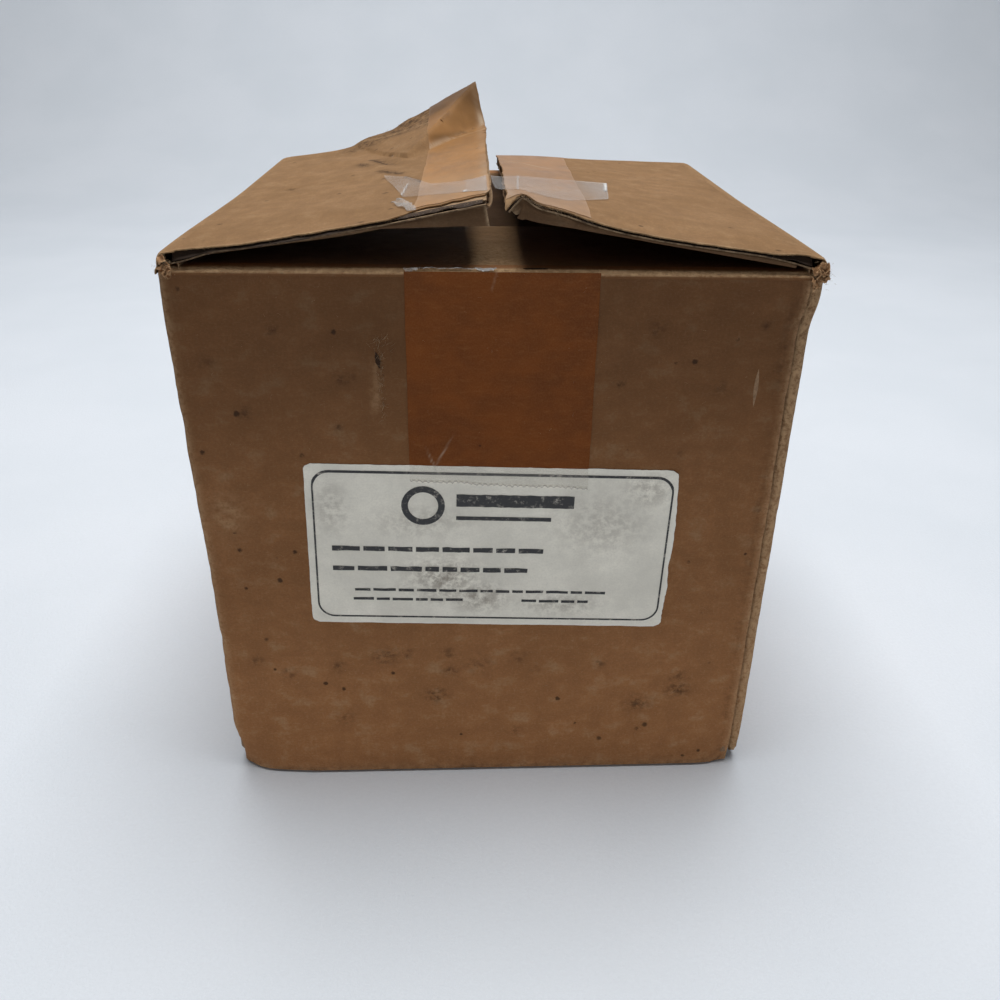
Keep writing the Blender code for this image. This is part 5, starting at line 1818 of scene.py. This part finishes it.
def make_camera():
    data = bpy.data.cameras.new("view")
    data.sensor_width = SENSOR
    data.lens = SENSOR * FOCAL_PIXELS / IMAGE_PIXELS
    data.clip_start = 0.01
    data.clip_end = 50.0
    level = np.array([math.sin(CAMERA_YAW), math.cos(CAMERA_YAW), 0.0])
    right = np.array([math.cos(CAMERA_YAW), -math.sin(CAMERA_YAW), 0.0])
    overhead = np.array([0.0, 0.0, 1.0])
    forward = level * math.cos(CAMERA_PITCH) - overhead * math.sin(CAMERA_PITCH)
    above = level * math.sin(CAMERA_PITCH) + overhead * math.cos(CAMERA_PITCH)
    rolled_right = right * math.cos(CAMERA_ROLL) + above * math.sin(CAMERA_ROLL)
    rolled_up = -right * math.sin(CAMERA_ROLL) + above * math.cos(CAMERA_ROLL)
    turn = Matrix((rolled_right, rolled_up, -forward)).transposed().to_4x4()
    camera = bpy.data.objects.new("view", data)
    camera.matrix_world = Matrix.Translation(Vector(CAMERA_PLACE) / METRE) @ turn
    bpy.context.scene.collection.objects.link(camera)
    bpy.context.scene.camera = camera


def area_light(name, place, target, size, power, colour):
    data = bpy.data.lights.new(name, "AREA")
    data.shape = "RECTANGLE"
    data.size, data.size_y = size
    data.energy = power
    data.color = colour
    light = bpy.data.objects.new(name, data)
    light.location = place
    light.rotation_euler = (Vector(target) - Vector(place)).to_track_quat("-Z", "Y").to_euler()
    light.visible_camera = False
    bpy.context.scene.collection.objects.link(light)


FLOOR_FRONT = -3.0
SWEEP_START = 0.75
SWEEP_RADIUS = 0.6
WALL_TOP = 2.4
STAGE_HALF = 4.0


def make_stage():
    """Pale floor that sweeps up far behind the carton, one large soft light above, and dim room light."""
    profile = [(FLOOR_FRONT, 0.0), (SWEEP_START, 0.0)]
    for k in range(1, 25):
        angle = math.radians(90 * k / 24)
        profile.append((SWEEP_START + SWEEP_RADIUS * math.sin(angle), SWEEP_RADIUS * (1 - math.cos(angle))))
    profile.append((SWEEP_START + SWEEP_RADIUS, WALL_TOP))
    points = [(side * STAGE_HALF, y, z) for side in (-1, 1) for y, z in profile]
    count = len(profile)
    faces = [(k, k + count, k + 1 + count, k + 1) for k in range(count - 1)]
    data = bpy.data.meshes.new("floor")
    data.from_pydata(points, [], faces)
    data.shade_smooth()
    data.materials.append(floor_paint())
    floor = bpy.data.objects.new("floor", data)
    floor.location.z = -0.0002
    bpy.context.scene.collection.objects.link(floor)

    area_light("overhead", (0.0, 0.17, 1.35), (0.0, 0.17, 0.0), (0.95, 0.95), 19.8, (1.0, 0.995, 0.98))
    area_light("low_reflector", (0.0, -0.60, 0.11), (0.0, -0.08, 0.03), (0.90, 0.20), 0.50, (1.0, 0.98, 0.95))
    world = bpy.data.worlds.new("room")
    bpy.context.scene.world = world
    world.use_nodes = True
    background = world.node_tree.nodes["Background"]
    background.inputs["Color"].default_value = (0.90, 0.92, 0.95, 1.0)
    background.inputs["Strength"].default_value = 0.10
    bpy.context.scene.view_settings.view_transform = "Standard"


make_camera()
make_stage()
make_wall_skin()
make_wall_cores()
make_tab()
make_bottom()
make_left_flap()
make_left_bare_strip()
make_left_corner()
make_right_flap()
make_lips()
make_minor_flaps()
make_side_creases()
make_end_creases()
make_label()
make_print()
make_front_tape()
make_back_tape()
make_seam_tapes()
make_bridge_tape()
make_scrap()
make_edge_crinkles()
make_wall_tear()
make_fibres()
